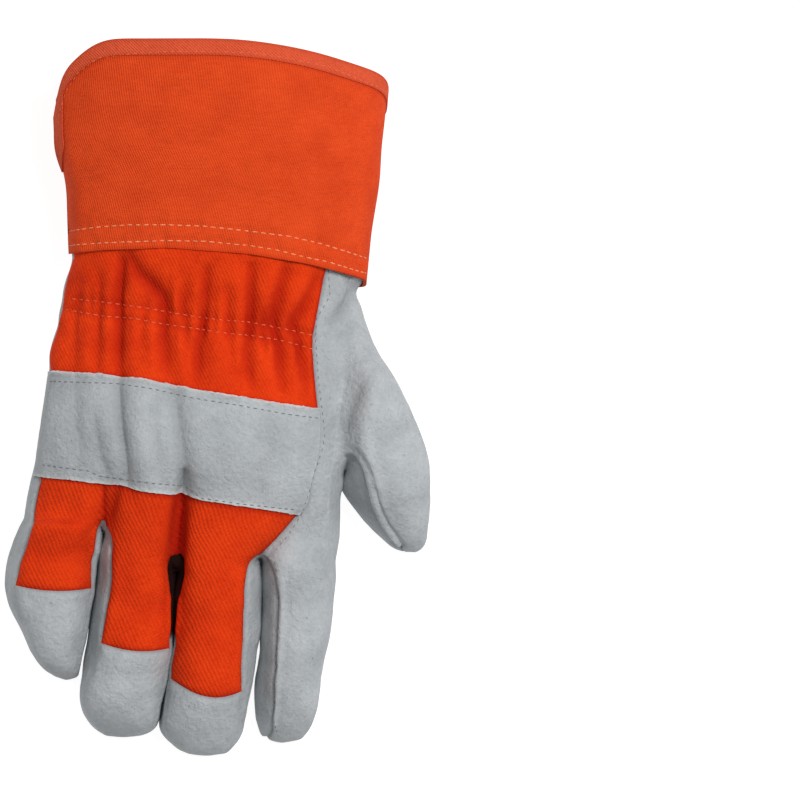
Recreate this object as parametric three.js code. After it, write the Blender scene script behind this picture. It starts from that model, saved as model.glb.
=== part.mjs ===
import * as THREE from "three";

// Sizes in millimetres. The glove lies palm down: X to the thumb, Y to the cuff, Z up.
const glove_length = 266;
const leather = 1.6;
const cloth = 1.2;
const canvas = 1.4;
const tape = 2.0;
const patch_leather = 1.5;
const tape_width = 6;
const seam_gap = 0.6;
const strap_lift = 0.6;
const tape_lift = 0.4;
const hand_height = 42;
const finger_height = 32;
const thumb_height = 38;
const pleat_depth = 1.3;
const fold_depth = 2.4;
const fold_width = 5;
const patch_gap = 0.4;
const wrist_gap = 0.9;
const cuff_mouth_height = 54;
const cuff_wrist_height = hand_height + canvas + wrist_gap;
const cuff_base = patch_leather + patch_gap;
const mouth_corner = 29;
const mille = glove_length / 1000;

// Columns of the cage: six along each finger's back, three on a side.
const per_finger = 6;
const fingers = 4;
const across = per_finger * fingers;
const thumb_columns = 5;
const cuff_columns = 16;

// Plan tables hold x and y in thousandths of the glove's length, and heights, bows, depths and
// widths as shares of the named sizes.
const table = (names, rows) =>
  rows.map((row) => Object.fromEntries(names.split(" ").map((name, i) => [name, row[i]])));

const mix = (a, b, t) => a + (b - a) * t;

// A smooth curve through values at evenly numbered places.
function smooth(values, place) {
  const last = values.length - 1;
  const i = Math.min(Math.floor(place), last - 1);
  const t = place - i;
  const b = values[i];
  const c = values[i + 1];
  const a = i > 0 ? values[i - 1] : 2 * b - c;
  const d = i + 2 <= last ? values[i + 2] : 2 * c - b;
  return b + 0.5 * t * (c - a + t * (2 * a - 5 * b + 4 * c - d + t * (3 * (b - c) + d - a)));
}

// A value read between the rows of a two-column table.
function between(rows, at) {
  let i = 1;
  while (i < rows.length - 1 && rows[i][0] < at) i += 1;
  const [a, b] = [rows[i - 1], rows[i]];
  const t = Math.min(Math.max((at - a[0]) / (b[0] - a[0]), 0), 1);
  return mix(a[1], b[1], t);
}

// Rows of the hand from under the cuff to the finger crotches. The lines named little, middle
// and seam run on the back between the fingers; fan draws the palm's lines to the same crotches.
const hand = table(
  "left_x left_y little_x little_y middle_x middle_y seam_x seam_y right_x right_y " +
    "under_left_y under_right_y height gather valley fan shoulder tuck",
  [
    [-198, 220, -82, 222, 36, 211, 155, 194, 202, 189, 197, 150, 1.0, 0.0, 0, 0, 8, 3],
    [-199, 194, -93, 203, 26, 194, 153, 173, 199, 159, 186, 141, 1.0, 0.15, 0, 0, 8, 3],
    [-210, 157, -100, 165, 16, 152, 144, 129, 199, 133, 157, 127, 0.955, 0.77, 0, 0, 12, 3],
    [-216, 119, -107, 127, 8, 108, 135, 85, 205, 106, 119, 106, 0.905, 1.0, 0, 0, 18, 3],
    [-223, 87, -111, 97, 8, 73, 137, 49, 208, 73, 87, 73, 0.917, 0.92, 0, 0, 20, 3],
    [-230, 62, -118, 63, 6, 39, 140, 17, 205, 35, 62, 35, 0.94, 0.54, 0, 0, 20, 3],
    [-231, 35, -127, 28, 5, 4, 143, -17, 198, -4, 35, -4, 0.976, 0.15, 0, 0, 20, 3],
    [-238, -4, -135, -8, -3, -32, 146, -55, 188, -49, -4, -49, 1.0, 0.0, 0, 0.05, 18, 3],
    [-244, -43, -143, -46, -15, -69, 138, -91, 177, -92, -43, -94, 1.0, 0.0, 0, 0.15, 14, 2],
    [-248, -77, -150, -84, -29, -105, 128, -127, 170, -130, -77, -130, 0.952, 0.0, 0.02, 0.3, 10, 1],
    [-253, -110, -156, -120, -44, -137, 118, -162, 167, -168, -110, -168, 0.869, 0.0, 0.06, 0.5, 8, 0],
    [-265, -159, -159, -178, -58, -232, 62, -222, 166, -207, -159, -207, 0.757, 0.0, 0.2, 1, 8, 0],
  ],
);
const strap_start = 6;
const thumb_start = 3;
const thumb_crotch = 8;
const index_seam = 9;
const strap_end = 10;

// Rows of each finger and the thumb, from the crotch to the ridge of the tip. Bow rounds a row
// towards the tip; inset and reach are the shares of the width where the two side seams run.
const finger_columns = "left_x left_y right_x right_y height bow inset reach";
const digits = {
  little: {
    cloth_rows: 4,
    rows: table(finger_columns, [
      [-272, -173, -160, -186, 0.97, 0.0, 0.13, 0.96],
      [-285, -201, -166, -210, 0.905, 0.031, 0.14, 0.97],
      [-293, -232, -169, -239, 0.865, 0.047, 0.13, 0.975],
      [-296, -259, -172, -267, 0.844, 0.062, 0.12, 0.975],
      [-292, -287, -176, -295, 0.828, 0.062, 0.1, 0.975],
      [-282, -312, -180, -320, 0.797, 0.047, 0.1, 0.975],
      [-271, -334, -184, -344, 0.75, 0.031, 0.1, 0.97],
      [-258, -361, -189, -368, 0.641, 0.031, 0.11, 0.96],
      [-244, -379, -192, -386, 0.469, 0.031, 0.12, 0.94],
      [-227, -394, -194, -399, 0.281, 0.016, 0.1, 0.93],
    ]),
  },
  ring: {
    cloth_rows: 5,
    rows: table(finger_columns, [
      [-158, -189, -60, -242, 0.98, 0.0, 0.1, 0.96],
      [-165, -218, -60, -263, 0.93, 0.016, 0.165, 0.975],
      [-167, -253, -60, -287, 0.891, 0.031, 0.17, 0.975],
      [-173, -288, -61, -312, 0.859, 0.062, 0.165, 0.975],
      [-180, -336, -63, -351, 0.844, 0.09, 0.15, 0.97],
      [-185, -361, -66, -373, 0.828, 0.062, 0.13, 0.97],
      [-190, -386, -69, -396, 0.797, 0.031, 0.09, 0.97],
      [-192, -411, -76, -420, 0.75, 0.031, 0.06, 0.97],
      [-188, -436, -80, -443, 0.641, 0.031, 0.05, 0.97],
      [-177, -456, -87, -462, 0.469, 0.031, 0.05, 0.96],
      [-157, -473, -104, -474, 0.281, 0.031, 0.05, 0.95],
    ]),
  },
  middle: {
    cloth_rows: 7,
    rows: table(finger_columns, [
      [-57, -242, 60, -232, 0.985, 0.0, 0.07, 0.88],
      [-57, -267, 61, -259, 0.945, 0.016, 0.045, 0.83],
      [-58, -295, 61, -290, 0.922, 0.031, 0.02, 0.825],
      [-59, -326, 60, -323, 0.891, 0.031, 0.02, 0.83],
      [-61, -355, 57, -354, 0.875, 0.047, 0.02, 0.85],
      [-65, -373, 53, -382, 0.859, 0.125, 0.02, 0.87],
      [-68, -390, 50, -406, 0.844, 0.18, 0.03, 0.9],
      [-75, -424, 46, -431, 0.797, 0.1, 0.04, 0.93],
      [-79, -453, 42, -453, 0.703, 0.031, 0.05, 0.95],
      [-76, -471, 36, -474, 0.562, 0.031, 0.06, 0.95],
      [-62, -487, 23, -490, 0.406, 0.031, 0.07, 0.95],
      [-44, -498, 13, -499, 0.25, 0.031, 0.1, 0.93],
    ]),
  },
  index: {
    cloth_rows: 0,
    rows: table(finger_columns, [
      [63, -232, 166, -228, 0.98, 0.0, 0.12, 0.93],
      [63, -262, 166, -253, 0.93, 0.0, 0.19, 0.93],
      [63, -294, 164, -287, 0.891, 0.0, 0.205, 0.93],
      [62, -326, 161, -320, 0.859, 0.0, 0.22, 0.93],
      [60, -358, 156, -351, 0.844, 0.0, 0.215, 0.93],
      [56, -387, 149, -379, 0.828, 0.0, 0.25, 0.93],
      [52, -418, 144, -413, 0.781, 0.0, 0.28, 0.93],
      [52, -441, 140, -439, 0.672, 0.016, 0.27, 0.93],
      [55, -459, 132, -462, 0.531, 0.031, 0.27, 0.93],
      [59, -473, 122, -477, 0.375, 0.031, 0.25, 0.93],
      [69, -484, 114, -483, 0.25, 0.016, 0.15, 0.93],
    ]),
  },
  thumb: {
    cloth_rows: 0,
    rows: table(finger_columns, [
      [183, -99, 224, 67, 1.0, 0.0, 0.12, 0.93],
      [183, -108, 245, 34, 1.0, 0.0, 0.2, 0.93],
      [180, -116, 266, -6, 0.961, 0.0, 0.27, 0.93],
      [178, -126, 282, -43, 0.908, 0.0, 0.3, 0.93],
      [184, -140, 293, -83, 0.842, 0.0, 0.28, 0.93],
      [201, -161, 297, -122, 0.75, 0.0, 0.21, 0.93],
      [219, -182, 296, -161, 0.632, 0.0, 0.18, 0.93],
      [237, -200, 293, -192, 0.474, 0.0, 0.18, 0.93],
      [248, -210, 288, -208, 0.316, 0.0, 0.18, 0.93],
      [259, -217, 278, -217, 0.184, 0.0, 0.1, 0.93],
    ]),
  },
};

// Soft folds pressed into the back: each a line with its depth and width.
const folds = table("from_x from_y to_x to_y depth width", [
  [-180, 24, -194, -102, 0.58, 0.8],
  [-136, 18, -146, -119, 0.58, 0.8],
  [-57, 7, -37, -144, 1.0, 1.0],
  [72, -18, 64, -151, 0.5, 1.0],
  [190, 134, 164, 105, 0.75, 0.8],
  [220, 63, 201, 52, 0.42, 0.8],
  [220, 36, 184, -18, 1.0, 1.0],
  [184, -15, 181, -38, 0.92, 1.0],
  [190, -81, 285, -32, 0.42, 1.0],
  [-275, -228, -174, -231, 0.42, 0.8],
  [-146, -284, -68, -292, 0.42, 0.8],
  [-51, -309, 47, -306, 0.42, 0.8],
  [72, -284, 164, -276, 0.5, 0.8],
  [64, -373, 150, -368, 0.5, 0.8],
]);

// The palm view's outline of the vein patch, which lies flat under the cuff.
const patch_outline = table("x y", [
  [-199, 202], [-192, 231], [-190, 264], [-191, 303], [-183, 340], [-152, 362], [-101, 368],
  [-54, 358], [19, 341], [92, 319], [117, 303], [125, 278], [121, 252], [111, 225],
  [97, 202],
]);

// Side outlines of the cuff, y against x, and its edge over the wrist.
const cuff_left = [[201, -207], [280, -208], [312, -213], [336, -222], [382, -225], [429, -225]].reverse();
const cuff_right = [[157, 209], [248, 220], [287, 227], [422, 237], [471, 240]].reverse();

const points = [];
const faces = [];

const add_point = (x, y, z) => points.push(new THREE.Vector3(x, y, Math.max(z, 0))) - 1;

// Joins two loops with faces whose outside is the glove's; a name of null leaves a hole.
function join(upper, lower, piece) {
  const count = upper.length;
  for (let i = 0; i < count; i += 1) {
    const name = piece(i);
    if (name === null) continue;
    const next = (i + 1) % count;
    const corners = [upper[i], lower[i], lower[next], upper[next]];
    faces.push({ name, corners: corners.filter((c, k) => corners.indexOf(c) === k) });
  }
}

// Shares of the height over the width: the rounded top, and an underside pressed flat.
const top_share = (u) => 0.5 + 0.5 * (1 - Math.abs(2 * u - 1) ** 2.4) ** 0.55;
const under_share = (u) => 0.08 * Math.max(0, (Math.abs(2 * u - 1) - 0.5) / 0.3) ** 1.5;
const side_shares = [0.46, 0.24];
const lean = 0.03;

function pressed(x, y) {
  let depth = 0;
  for (const fold of folds) {
    const dx = (fold.to_x - fold.from_x) * mille;
    const dy = (fold.to_y - fold.from_y) * mille;
    const px = x - fold.from_x * mille;
    const py = y - fold.from_y * mille;
    const t = Math.min(Math.max((px * dx + py * dy) / (dx * dx + dy * dy), 0), 1);
    const away = Math.hypot(px - t * dx, py - t * dy);
    depth += fold_depth * fold.depth * Math.exp(-((away / (fold_width * fold.width)) ** 2));
  }
  return depth;
}

// One loop of a finger: back left to right, right side, front right to left, left side.
function digit_loop(row, columns, height) {
  const at = (u, share, bow) => {
    const x = mix(row.left_x, row.right_x, u) * mille;
    const drop = bow * finger_height * (1 - (2 * u - 1) ** 2);
    const y = mix(row.left_y, row.right_y, u) * mille - drop;
    const z = share * row.height * height;
    return share > 0.5 ? add_point(x, y, z - pressed(x, y)) : add_point(x, y, z);
  };
  const loop = [];
  for (let k = 0; k <= columns; k += 1) {
    const u = mix(row.inset, row.reach, k / columns);
    loop.push(at(u, top_share(u), row.bow));
  }
  loop.push(at(1, side_shares[0], 0), at(1 - lean, side_shares[1], 0));
  for (let k = columns; k >= 0; k -= 1) {
    const u = mix(0.1, 0.9, k / columns);
    loop.push(at(u, under_share(u), row.bow));
  }
  loop.push(at(0, side_shares[1], 0), at(lean, side_shares[0], 0));
  return loop;
}

// The closed ridge of a tip, doubled into a loop of the same length.
function ridge_loop(row, columns, height) {
  const ridge = [];
  for (let k = 0; k <= columns; k += 1) {
    const u = k / columns;
    const x = mix(row.left_x, row.right_x, u) * mille;
    const drop = row.bow * finger_height * (1 - (2 * u - 1) ** 2);
    const y = mix(row.left_y, row.right_y, u) * mille - drop;
    ridge.push(add_point(x, y, row.height * height * 0.5));
  }
  const back = [...ridge, ridge[columns], ridge[columns]];
  return [...back, ...[...ridge].reverse(), ridge[0], ridge[0]];
}

function add_digit(first, digit, columns, height, piece) {
  let upper = first;
  digit.rows.forEach((row, r) => {
    const last = r === digit.rows.length - 1;
    const lower = last ? ridge_loop(row, columns, height) : digit_loop(row, columns, height);
    join(upper, lower, (i) => piece(i, r));
    upper = lower;
  });
}

// One loop of the hand, in the same order as a finger's.
function hand_loop(row) {
  const width = row.right_x - row.left_x;
  const xs = [row.left_x + 7, row.little_x, row.middle_x, row.seam_x, row.right_x - row.shoulder];
  const ys = [row.left_y, row.little_y, row.middle_y, row.seam_y, row.right_y];
  const loop = [];
  for (let k = 0; k <= across; k += 1) {
    const x = smooth(xs, k / per_finger);
    const y = smooth(ys, k / per_finger);
    const seam_column = per_finger * (fingers - 1);
    const inside = Math.min(k, seam_column - k, 2) / 2;
    const pleat = inside > 0 ? pleat_depth * row.gather * inside * (k % 2 ? 1 : -1) : 0;
    const crotch = k % per_finger === 0 && k > 0 && k < across ? 1 : 0;
    const beside = k % per_finger === 1 || k % per_finger === per_finger - 1 ? 0.35 : 0;
    const lowered = 1 - row.valley * (k > 1 && k < across - 1 ? Math.max(crotch, beside) : 0);
    const z = hand_height * row.height * top_share((x - row.left_x) / width) * lowered + pleat;
    loop.push(add_point(x * mille, y * mille, z - pressed(x * mille, y * mille)));
  }
  const side = (x, y, under_y, tuck) =>
    [0.4, 0.95].map((t, i) => {
      const z = side_shares[i] * row.height * hand_height;
      return add_point((x + tuck * i) * mille, mix(y, under_y, t) * mille, z);
    });
  loop.push(...side(row.right_x, row.right_y, row.under_right_y, 0));
  const crotches = hand[hand.length - 1];
  const crotch_x = [0, crotches.little_x, crotches.middle_x, crotches.seam_x, 0];
  const crotch_y = [0, crotches.little_y, crotches.middle_y, crotches.seam_y, 0];
  const under_x = [0.1, 0.3, 0.5, 0.7, 0.9].map((u) => row.left_x + width * u);
  const bend = row.under_left_y === row.left_y ? 1 : 5;
  const under_y = [0, 0.25, 0.5, 0.75, 1].map((u) =>
    mix(row.under_left_y, row.under_right_y, u ** bend),
  );
  for (let i = 1; i < fingers; i += 1) {
    under_x[i] = mix(under_x[i], crotch_x[i], row.fan);
    under_y[i] = mix(under_y[i], crotch_y[i], row.fan);
  }
  for (let k = across; k >= 0; k -= 1) {
    const x = smooth(under_x, k / per_finger);
    const y = smooth(under_y, k / per_finger);
    const share = under_share((x - row.left_x) / width);
    loop.push(add_point(x * mille, y * mille, share * row.height * hand_height));
  }
  loop.push(...side(row.left_x, row.left_y, row.under_left_y, row.tuck).reverse());
  return loop;
}

const hand_loops = hand.map(hand_loop);
const right_side = across;
const under_side = across + 3;
const left_side = 2 * across + 3;
const under_index = (k) => under_side + across - k;
const digit_names = ["little", "ring", "middle", "index"];
const back_names = ["little_finger_back", "ring_finger_back", "middle_finger_back"];
const front_names = ["palm", "ring_finger_front", "middle_finger_front", "index_finger"];

function hand_piece(r, i) {
  if (i < right_side) {
    const finger = Math.floor(i / per_finger);
    if (finger === 3) return "index_finger";
    if (r < strap_start) return "back_cloth";
    return r < strap_end ? "knuckle_strap" : back_names[finger];
  }
  if (i < under_side) return r >= thumb_start && r < thumb_crotch ? null : "index_finger";
  if (i < left_side) {
    const finger = Math.floor((across - 1 - (i - under_side)) / per_finger);
    if (r < index_seam) return "palm";
    return r === index_seam ? (finger === 3 ? "index_finger" : "palm") : front_names[finger];
  }
  if (i < left_side + 2 || r >= strap_end) return "palm";
  return r < strap_start ? "back_cloth" : "knuckle_strap";
}

for (let r = 0; r < hand_loops.length - 1; r += 1) {
  join(hand_loops[r], hand_loops[r + 1], (i) => hand_piece(r, i));
}

// The webs between the fingers, each two points on the line from back to front.
const crotch_loop = hand_loops[hand_loops.length - 1];
const webs = [null];
for (let f = 1; f < fingers; f += 1) {
  const back = points[crotch_loop[per_finger * f]];
  const front = points[crotch_loop[under_index(per_finger * f)]];
  webs.push([0.36, 0.7].map((t) => add_point(...back.clone().lerp(front, t).toArray())));
}
webs[0] = [crotch_loop[2 * across + 5], crotch_loop[2 * across + 4]];
webs.push([crotch_loop[across + 1], crotch_loop[across + 2]]);

const side_names = [
  "palm",
  "fourchette_little_ring",
  "fourchette_ring_middle",
  "fourchette_middle_index",
  "index_finger",
];

digit_names.forEach((name, f) => {
  const first = [];
  for (let k = 0; k <= per_finger; k += 1) first.push(crotch_loop[per_finger * f + k]);
  first.push(...webs[f + 1]);
  for (let k = per_finger; k >= 0; k -= 1) first.push(crotch_loop[under_index(per_finger * f + k)]);
  first.push(...[...webs[f]].reverse());
  add_digit(first, digits[name], per_finger, finger_height, (i, r) => {
    if (i < per_finger) {
      if (name === "index") return "index_finger";
      return r < digits[name].cloth_rows ? back_names[f] : name + "_fingertip";
    }
    if (i < per_finger + 3) return side_names[f + 1];
    return i < 2 * per_finger + 3 ? front_names[f] : side_names[f];
  });
});

const thumb_rows = [8, 7, 6, 5, 4, 3];
const thumb_first = [
  ...thumb_rows.map((r) => hand_loops[r][across]),
  hand_loops[thumb_start][across + 1],
  hand_loops[thumb_start][across + 2],
  ...[...thumb_rows].reverse().map((r) => hand_loops[r][under_index(across)]),
  hand_loops[thumb_crotch][across + 2],
  hand_loops[thumb_crotch][across + 1],
];
add_digit(thumb_first, digits.thumb, thumb_columns, thumb_height, (i) =>
  i < thumb_columns + 3 ? "thumb_back" : "thumb_front",
);

// The cuff: rows from the bound mouth to the edge over the wrist, open at the side slit.
const cuff_rows = table("share base slit_top slit_under", [
  [-1, 0.3, 0.5, 0.28],
  [0, 0.3, 0.5, 0.28],
  [0.16, 0.6, 0.47, 0.31],
  [0.32, 1, 0.42, 0.365],
  [0.5, 1, 0.42, 0.365],
  [0.68, 1, 0.42, 0.365],
  [0.84, 1, 0.42, 0.365],
  [1, 1, 0.42, 0.365],
]);
const slit_end = 3;
const mouth = { top: 499, top_start: 0.45, under: 501, under_start: 0.3, drop: 175 };
const wrist_edge = [[0, 200], [0.12, 205], [0.33, 208], [0.59, 200], [0.8, 186], [1, 165]];
const corner_share = 0.2;
const wrist_lap = 18;

function cuff_y(row, u, under) {
  const level = under ? mouth.under : mouth.top;
  const start = under ? mouth.under_start : mouth.top_start;
  const rounding = 1 - Math.sqrt(1 - Math.max(0, 1 - u / corner_share) ** 2);
  const slant = mouth.drop * Math.max(0, u - start) ** 2;
  const edge = (level - slant) * mille - mouth_corner * rounding;
  if (row.share < 0) return edge;
  const lap = wrist_lap * Math.max(0, 1 - ((u - 0.49) / 0.25) ** 2);
  const bent = Math.min(Math.max((u - 0.1) / 0.8, 0), 1) ** 5;
  const wrist = under ? mix(201, 154, bent) - lap : between(wrist_edge, u);
  return mix(edge - tape_width, wrist * mille, row.share);
}

function cuff_loop(row) {
  const height = mix(cuff_mouth_height, cuff_wrist_height, Math.max(row.share, 0));
  const at = (u, y, share) => {
    const left = between(cuff_left, y / mille);
    const right = between(cuff_right, y / mille);
    const x = mix(left, right, u) * mille;
    return add_point(x, y, mix(row.base * cuff_base, height, share));
  };
  const loop = [];
  for (let k = 0; k <= cuff_columns; k += 1) {
    const u = 0.975 * (k / cuff_columns) ** 1.3;
    const y = cuff_y(row, u, false);
    loop.push(at(u, y, k === 0 ? row.slit_top : top_share(u)));
  }
  const top_y = cuff_y(row, 1, false);
  const under_y = cuff_y(row, 1, true);
  loop.push(at(1, mix(top_y, under_y, 0.4), side_shares[0]));
  loop.push(at(0.995, mix(top_y, under_y, 0.9), side_shares[1]));
  for (let k = cuff_columns; k >= 0; k -= 1) {
    const u = 0.005 + 0.955 * (k / cuff_columns) ** 1.3;
    const rise = 0.3 * Math.max(0, 1 - Math.min(u, 1 - u) / 0.12) ** 2;
    loop.push(at(u, cuff_y(row, u, true), k === 0 ? row.slit_under : rise));
  }
  return loop;
}

const cuff_loops = cuff_rows.map(cuff_loop);
const cuff_seam = 2 * cuff_columns + 3;
for (let r = 0; r < cuff_loops.length - 1; r += 1) {
  join(cuff_loops[r], cuff_loops[r + 1], (i) => {
    if (i === cuff_seam) return r < slit_end ? null : "cuff";
    if (r === 0) return "cuff_binding";
    const beside_slit = i === 0 || i === cuff_seam - 1;
    return beside_slit && r < slit_end ? "cuff_binding" : "cuff";
  });
}

// The offset at each point that keeps the distance to all the faces round it.
function offsets() {
  const sums = points.map(() => ({ m: [0, 0, 0, 0, 0, 0], v: new THREE.Vector3() }));
  for (const face of faces) {
    const [a, b, c, d] = face.corners.map((i) => points[i]);
    const normal = new THREE.Vector3().crossVectors(
      new THREE.Vector3().subVectors(c, a),
      new THREE.Vector3().subVectors(d ?? c, d ? b : a),
    );
    if (!d) {
      normal.crossVectors(new THREE.Vector3().subVectors(b, a), new THREE.Vector3().subVectors(c, a));
    }
    normal.normalize();
    face.normal = normal;
    for (const i of face.corners) {
      const { m, v } = sums[i];
      m[0] += normal.x * normal.x;
      m[1] += normal.x * normal.y;
      m[2] += normal.x * normal.z;
      m[3] += normal.y * normal.y;
      m[4] += normal.y * normal.z;
      m[5] += normal.z * normal.z;
      v.add(normal);
    }
  }
  return sums.map(({ m, v }) => {
    const keep = 0.06 * (m[0] + m[3] + m[5]);
    const solve = new THREE.Matrix3().set(
      m[0] + keep, m[1], m[2],
      m[1], m[3] + keep, m[4],
      m[2], m[4], m[5] + keep,
    );
    const flat = v.clone().normalize();
    const offset = v.clone().addScaledVector(flat, keep).applyMatrix3(solve.invert());
    return offset.clampLength(1, 1.6);
  });
}

const outward = offsets();

// One piece: its faces pulled in at the border, thickened inwards and closed round the edge.
function piece_mesh(name, thickness, lift, colour) {
  const own = faces.filter((face) => face.name === name);
  const edges = new Map();
  for (const face of own) {
    face.corners.forEach((a, k) => {
      const b = face.corners[(k + 1) % face.corners.length];
      edges.set(a + "," + b, { a, b, normal: face.normal });
    });
  }
  const border = [...edges.values()].filter(({ a, b }) => !edges.has(b + "," + a));
  const pulls = new Map();
  for (const { a, b, normal } of border) {
    const along = new THREE.Vector3().subVectors(points[b], points[a]).normalize();
    const inward = new THREE.Vector3().crossVectors(normal, along).normalize();
    for (const i of [a, b]) {
      if (!pulls.has(i)) pulls.set(i, []);
      pulls.get(i).push(inward);
    }
  }
  const used = [...new Set(own.flatMap((face) => face.corners))];
  const number = new Map(used.map((i, n) => [i, n]));
  const outer = [];
  const inner = [];
  for (const i of used) {
    const place = points[i].clone();
    const pull = pulls.get(i);
    if (pull) {
      const sum = pull.reduce((s, p) => s.add(p), new THREE.Vector3());
      const half = Math.max(sum.length() / pull.length, 0.6);
      place.addScaledVector(sum.normalize(), seam_gap / 2 / half);
    }
    outer.push(place.clone().addScaledVector(outward[i], lift));
    inner.push(place.clone().addScaledVector(outward[i], lift - thickness));
  }
  for (const place of outer) place.z = Math.max(place.z, 0);
  const count = used.length;
  const triangles = [];
  for (const face of own) {
    const c = face.corners.map((i) => number.get(i));
    let cut = [c];
    if (c.length === 4) {
      const [p, q, r, s] = face.corners.map((i) => points[i]);
      const first = p.distanceTo(r) <= q.distanceTo(s);
      cut = first ? [[c[0], c[1], c[2]], [c[0], c[2], c[3]]] : [[c[0], c[1], c[3]], [c[1], c[2], c[3]]];
    }
    for (const [a, b, d] of cut) {
      triangles.push(a, b, d, a + count, d + count, b + count);
    }
  }
  for (const { a, b } of border) {
    const [m, n] = [number.get(a), number.get(b)];
    triangles.push(n, m, m + count, n, m + count, n + count);
  }
  return mesh(name, [...outer, ...inner], triangles, colour);
}

function mesh(name, places, triangles, colour) {
  const geometry = new THREE.BufferGeometry();
  geometry.setAttribute(
    "position",
    new THREE.Float32BufferAttribute(places.flatMap((p) => [p.x, p.y, p.z]), 3),
  );
  geometry.setIndex(triangles);
  geometry.computeVertexNormals();
  const made = new THREE.Mesh(geometry, new THREE.MeshStandardMaterial({ color: colour }));
  made.name = name;
  return made;
}

function vein_patch() {
  const outline = patch_outline.map((p) => new THREE.Vector3(p.x * mille, p.y * mille, 0));
  const curve = new THREE.CatmullRomCurve3(outline, false, "centripetal");
  const places = curve.getSpacedPoints(44);
  const shape = new THREE.Shape(places.map((p) => new THREE.Vector2(p.x, p.y)));
  const geometry = new THREE.ExtrudeGeometry(shape, { depth: patch_leather, bevelEnabled: false });
  const made = new THREE.Mesh(geometry, new THREE.MeshStandardMaterial({ color: grey }));
  made.name = "vein_patch";
  return made;
}

const orange = "#c83a18";
const cuff_orange = "#cc4426";
const tape_orange = "#d65a38";
const grey = "#a9afb2";

const glove = new THREE.Group();
glove.name = "rigger_glove";
glove.add(
  piece_mesh("palm", leather, 0, grey),
  piece_mesh("index_finger", leather, 0, grey),
  piece_mesh("ring_finger_front", leather, 0, grey),
  piece_mesh("middle_finger_front", leather, 0, grey),
  piece_mesh("thumb_back", leather, 0, grey),
  piece_mesh("thumb_front", leather, 0, grey),
  piece_mesh("fourchette_little_ring", leather, 0, grey),
  piece_mesh("fourchette_ring_middle", leather, 0, grey),
  piece_mesh("fourchette_middle_index", leather, 0, grey),
  piece_mesh("little_fingertip", leather, 0, grey),
  piece_mesh("ring_fingertip", leather, 0, grey),
  piece_mesh("middle_fingertip", leather, 0, grey),
  piece_mesh("knuckle_strap", leather, strap_lift, grey),
  piece_mesh("back_cloth", cloth, 0, orange),
  piece_mesh("little_finger_back", cloth, 0, orange),
  piece_mesh("ring_finger_back", cloth, 0, orange),
  piece_mesh("middle_finger_back", cloth, 0, orange),
  piece_mesh("cuff", canvas, 0, cuff_orange),
  piece_mesh("cuff_binding", tape, tape_lift, tape_orange),
  vein_patch(),
);

export default glove;
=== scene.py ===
import bpy
import math
import numpy as np
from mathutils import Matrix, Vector
from mathutils.bvhtree import BVHTree
from mathutils.kdtree import KDTree


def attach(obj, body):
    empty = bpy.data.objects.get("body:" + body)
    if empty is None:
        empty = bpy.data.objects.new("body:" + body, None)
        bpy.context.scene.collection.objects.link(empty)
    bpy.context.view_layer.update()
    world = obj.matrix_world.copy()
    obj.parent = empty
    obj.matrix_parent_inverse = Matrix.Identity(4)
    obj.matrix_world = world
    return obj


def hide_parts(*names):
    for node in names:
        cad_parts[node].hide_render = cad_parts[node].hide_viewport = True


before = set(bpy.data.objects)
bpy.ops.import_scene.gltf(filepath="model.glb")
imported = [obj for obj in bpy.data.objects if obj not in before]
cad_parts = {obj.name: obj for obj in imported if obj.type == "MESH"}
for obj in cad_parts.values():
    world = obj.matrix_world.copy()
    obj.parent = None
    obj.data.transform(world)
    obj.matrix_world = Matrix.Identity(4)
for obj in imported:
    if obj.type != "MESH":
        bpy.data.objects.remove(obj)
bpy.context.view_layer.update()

# The hand with fingers and thumb: split leather and cotton drill, cut to shape and sewn together.
# One cage of loops, a loop for each table row, gives all its pieces, so neighbours share seams.
# Plan tables hold x and y in thousandths of the glove's length, heights as shares of named ones.
glove_length = 0.266
mille = glove_length / 1000
hand_height = 0.042
finger_height = 0.032
thumb_height = 0.038
per_finger = 6
across = 4 * per_finger
thumb_columns = 5
strap_start = 6
thumb_start = 3
thumb_crotch = 8
index_seam = 9
strap_end = 10


def table(names, rows):
    return [dict(zip(names.split(), row)) for row in rows]


def mix(a, b, t):
    return a + (b - a) * t


def smooth(values, place):
    last = len(values) - 1
    i = min(int(place), last - 1)
    t = place - i
    b = values[i]
    c = values[i + 1]
    a = values[i - 1] if i > 0 else 2 * b - c
    d = values[i + 2] if i + 2 <= last else 2 * c - b
    return b + 0.5 * t * (c - a + t * (2 * a - 5 * b + 4 * c - d + t * (3 * (b - c) + d - a)))


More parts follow.
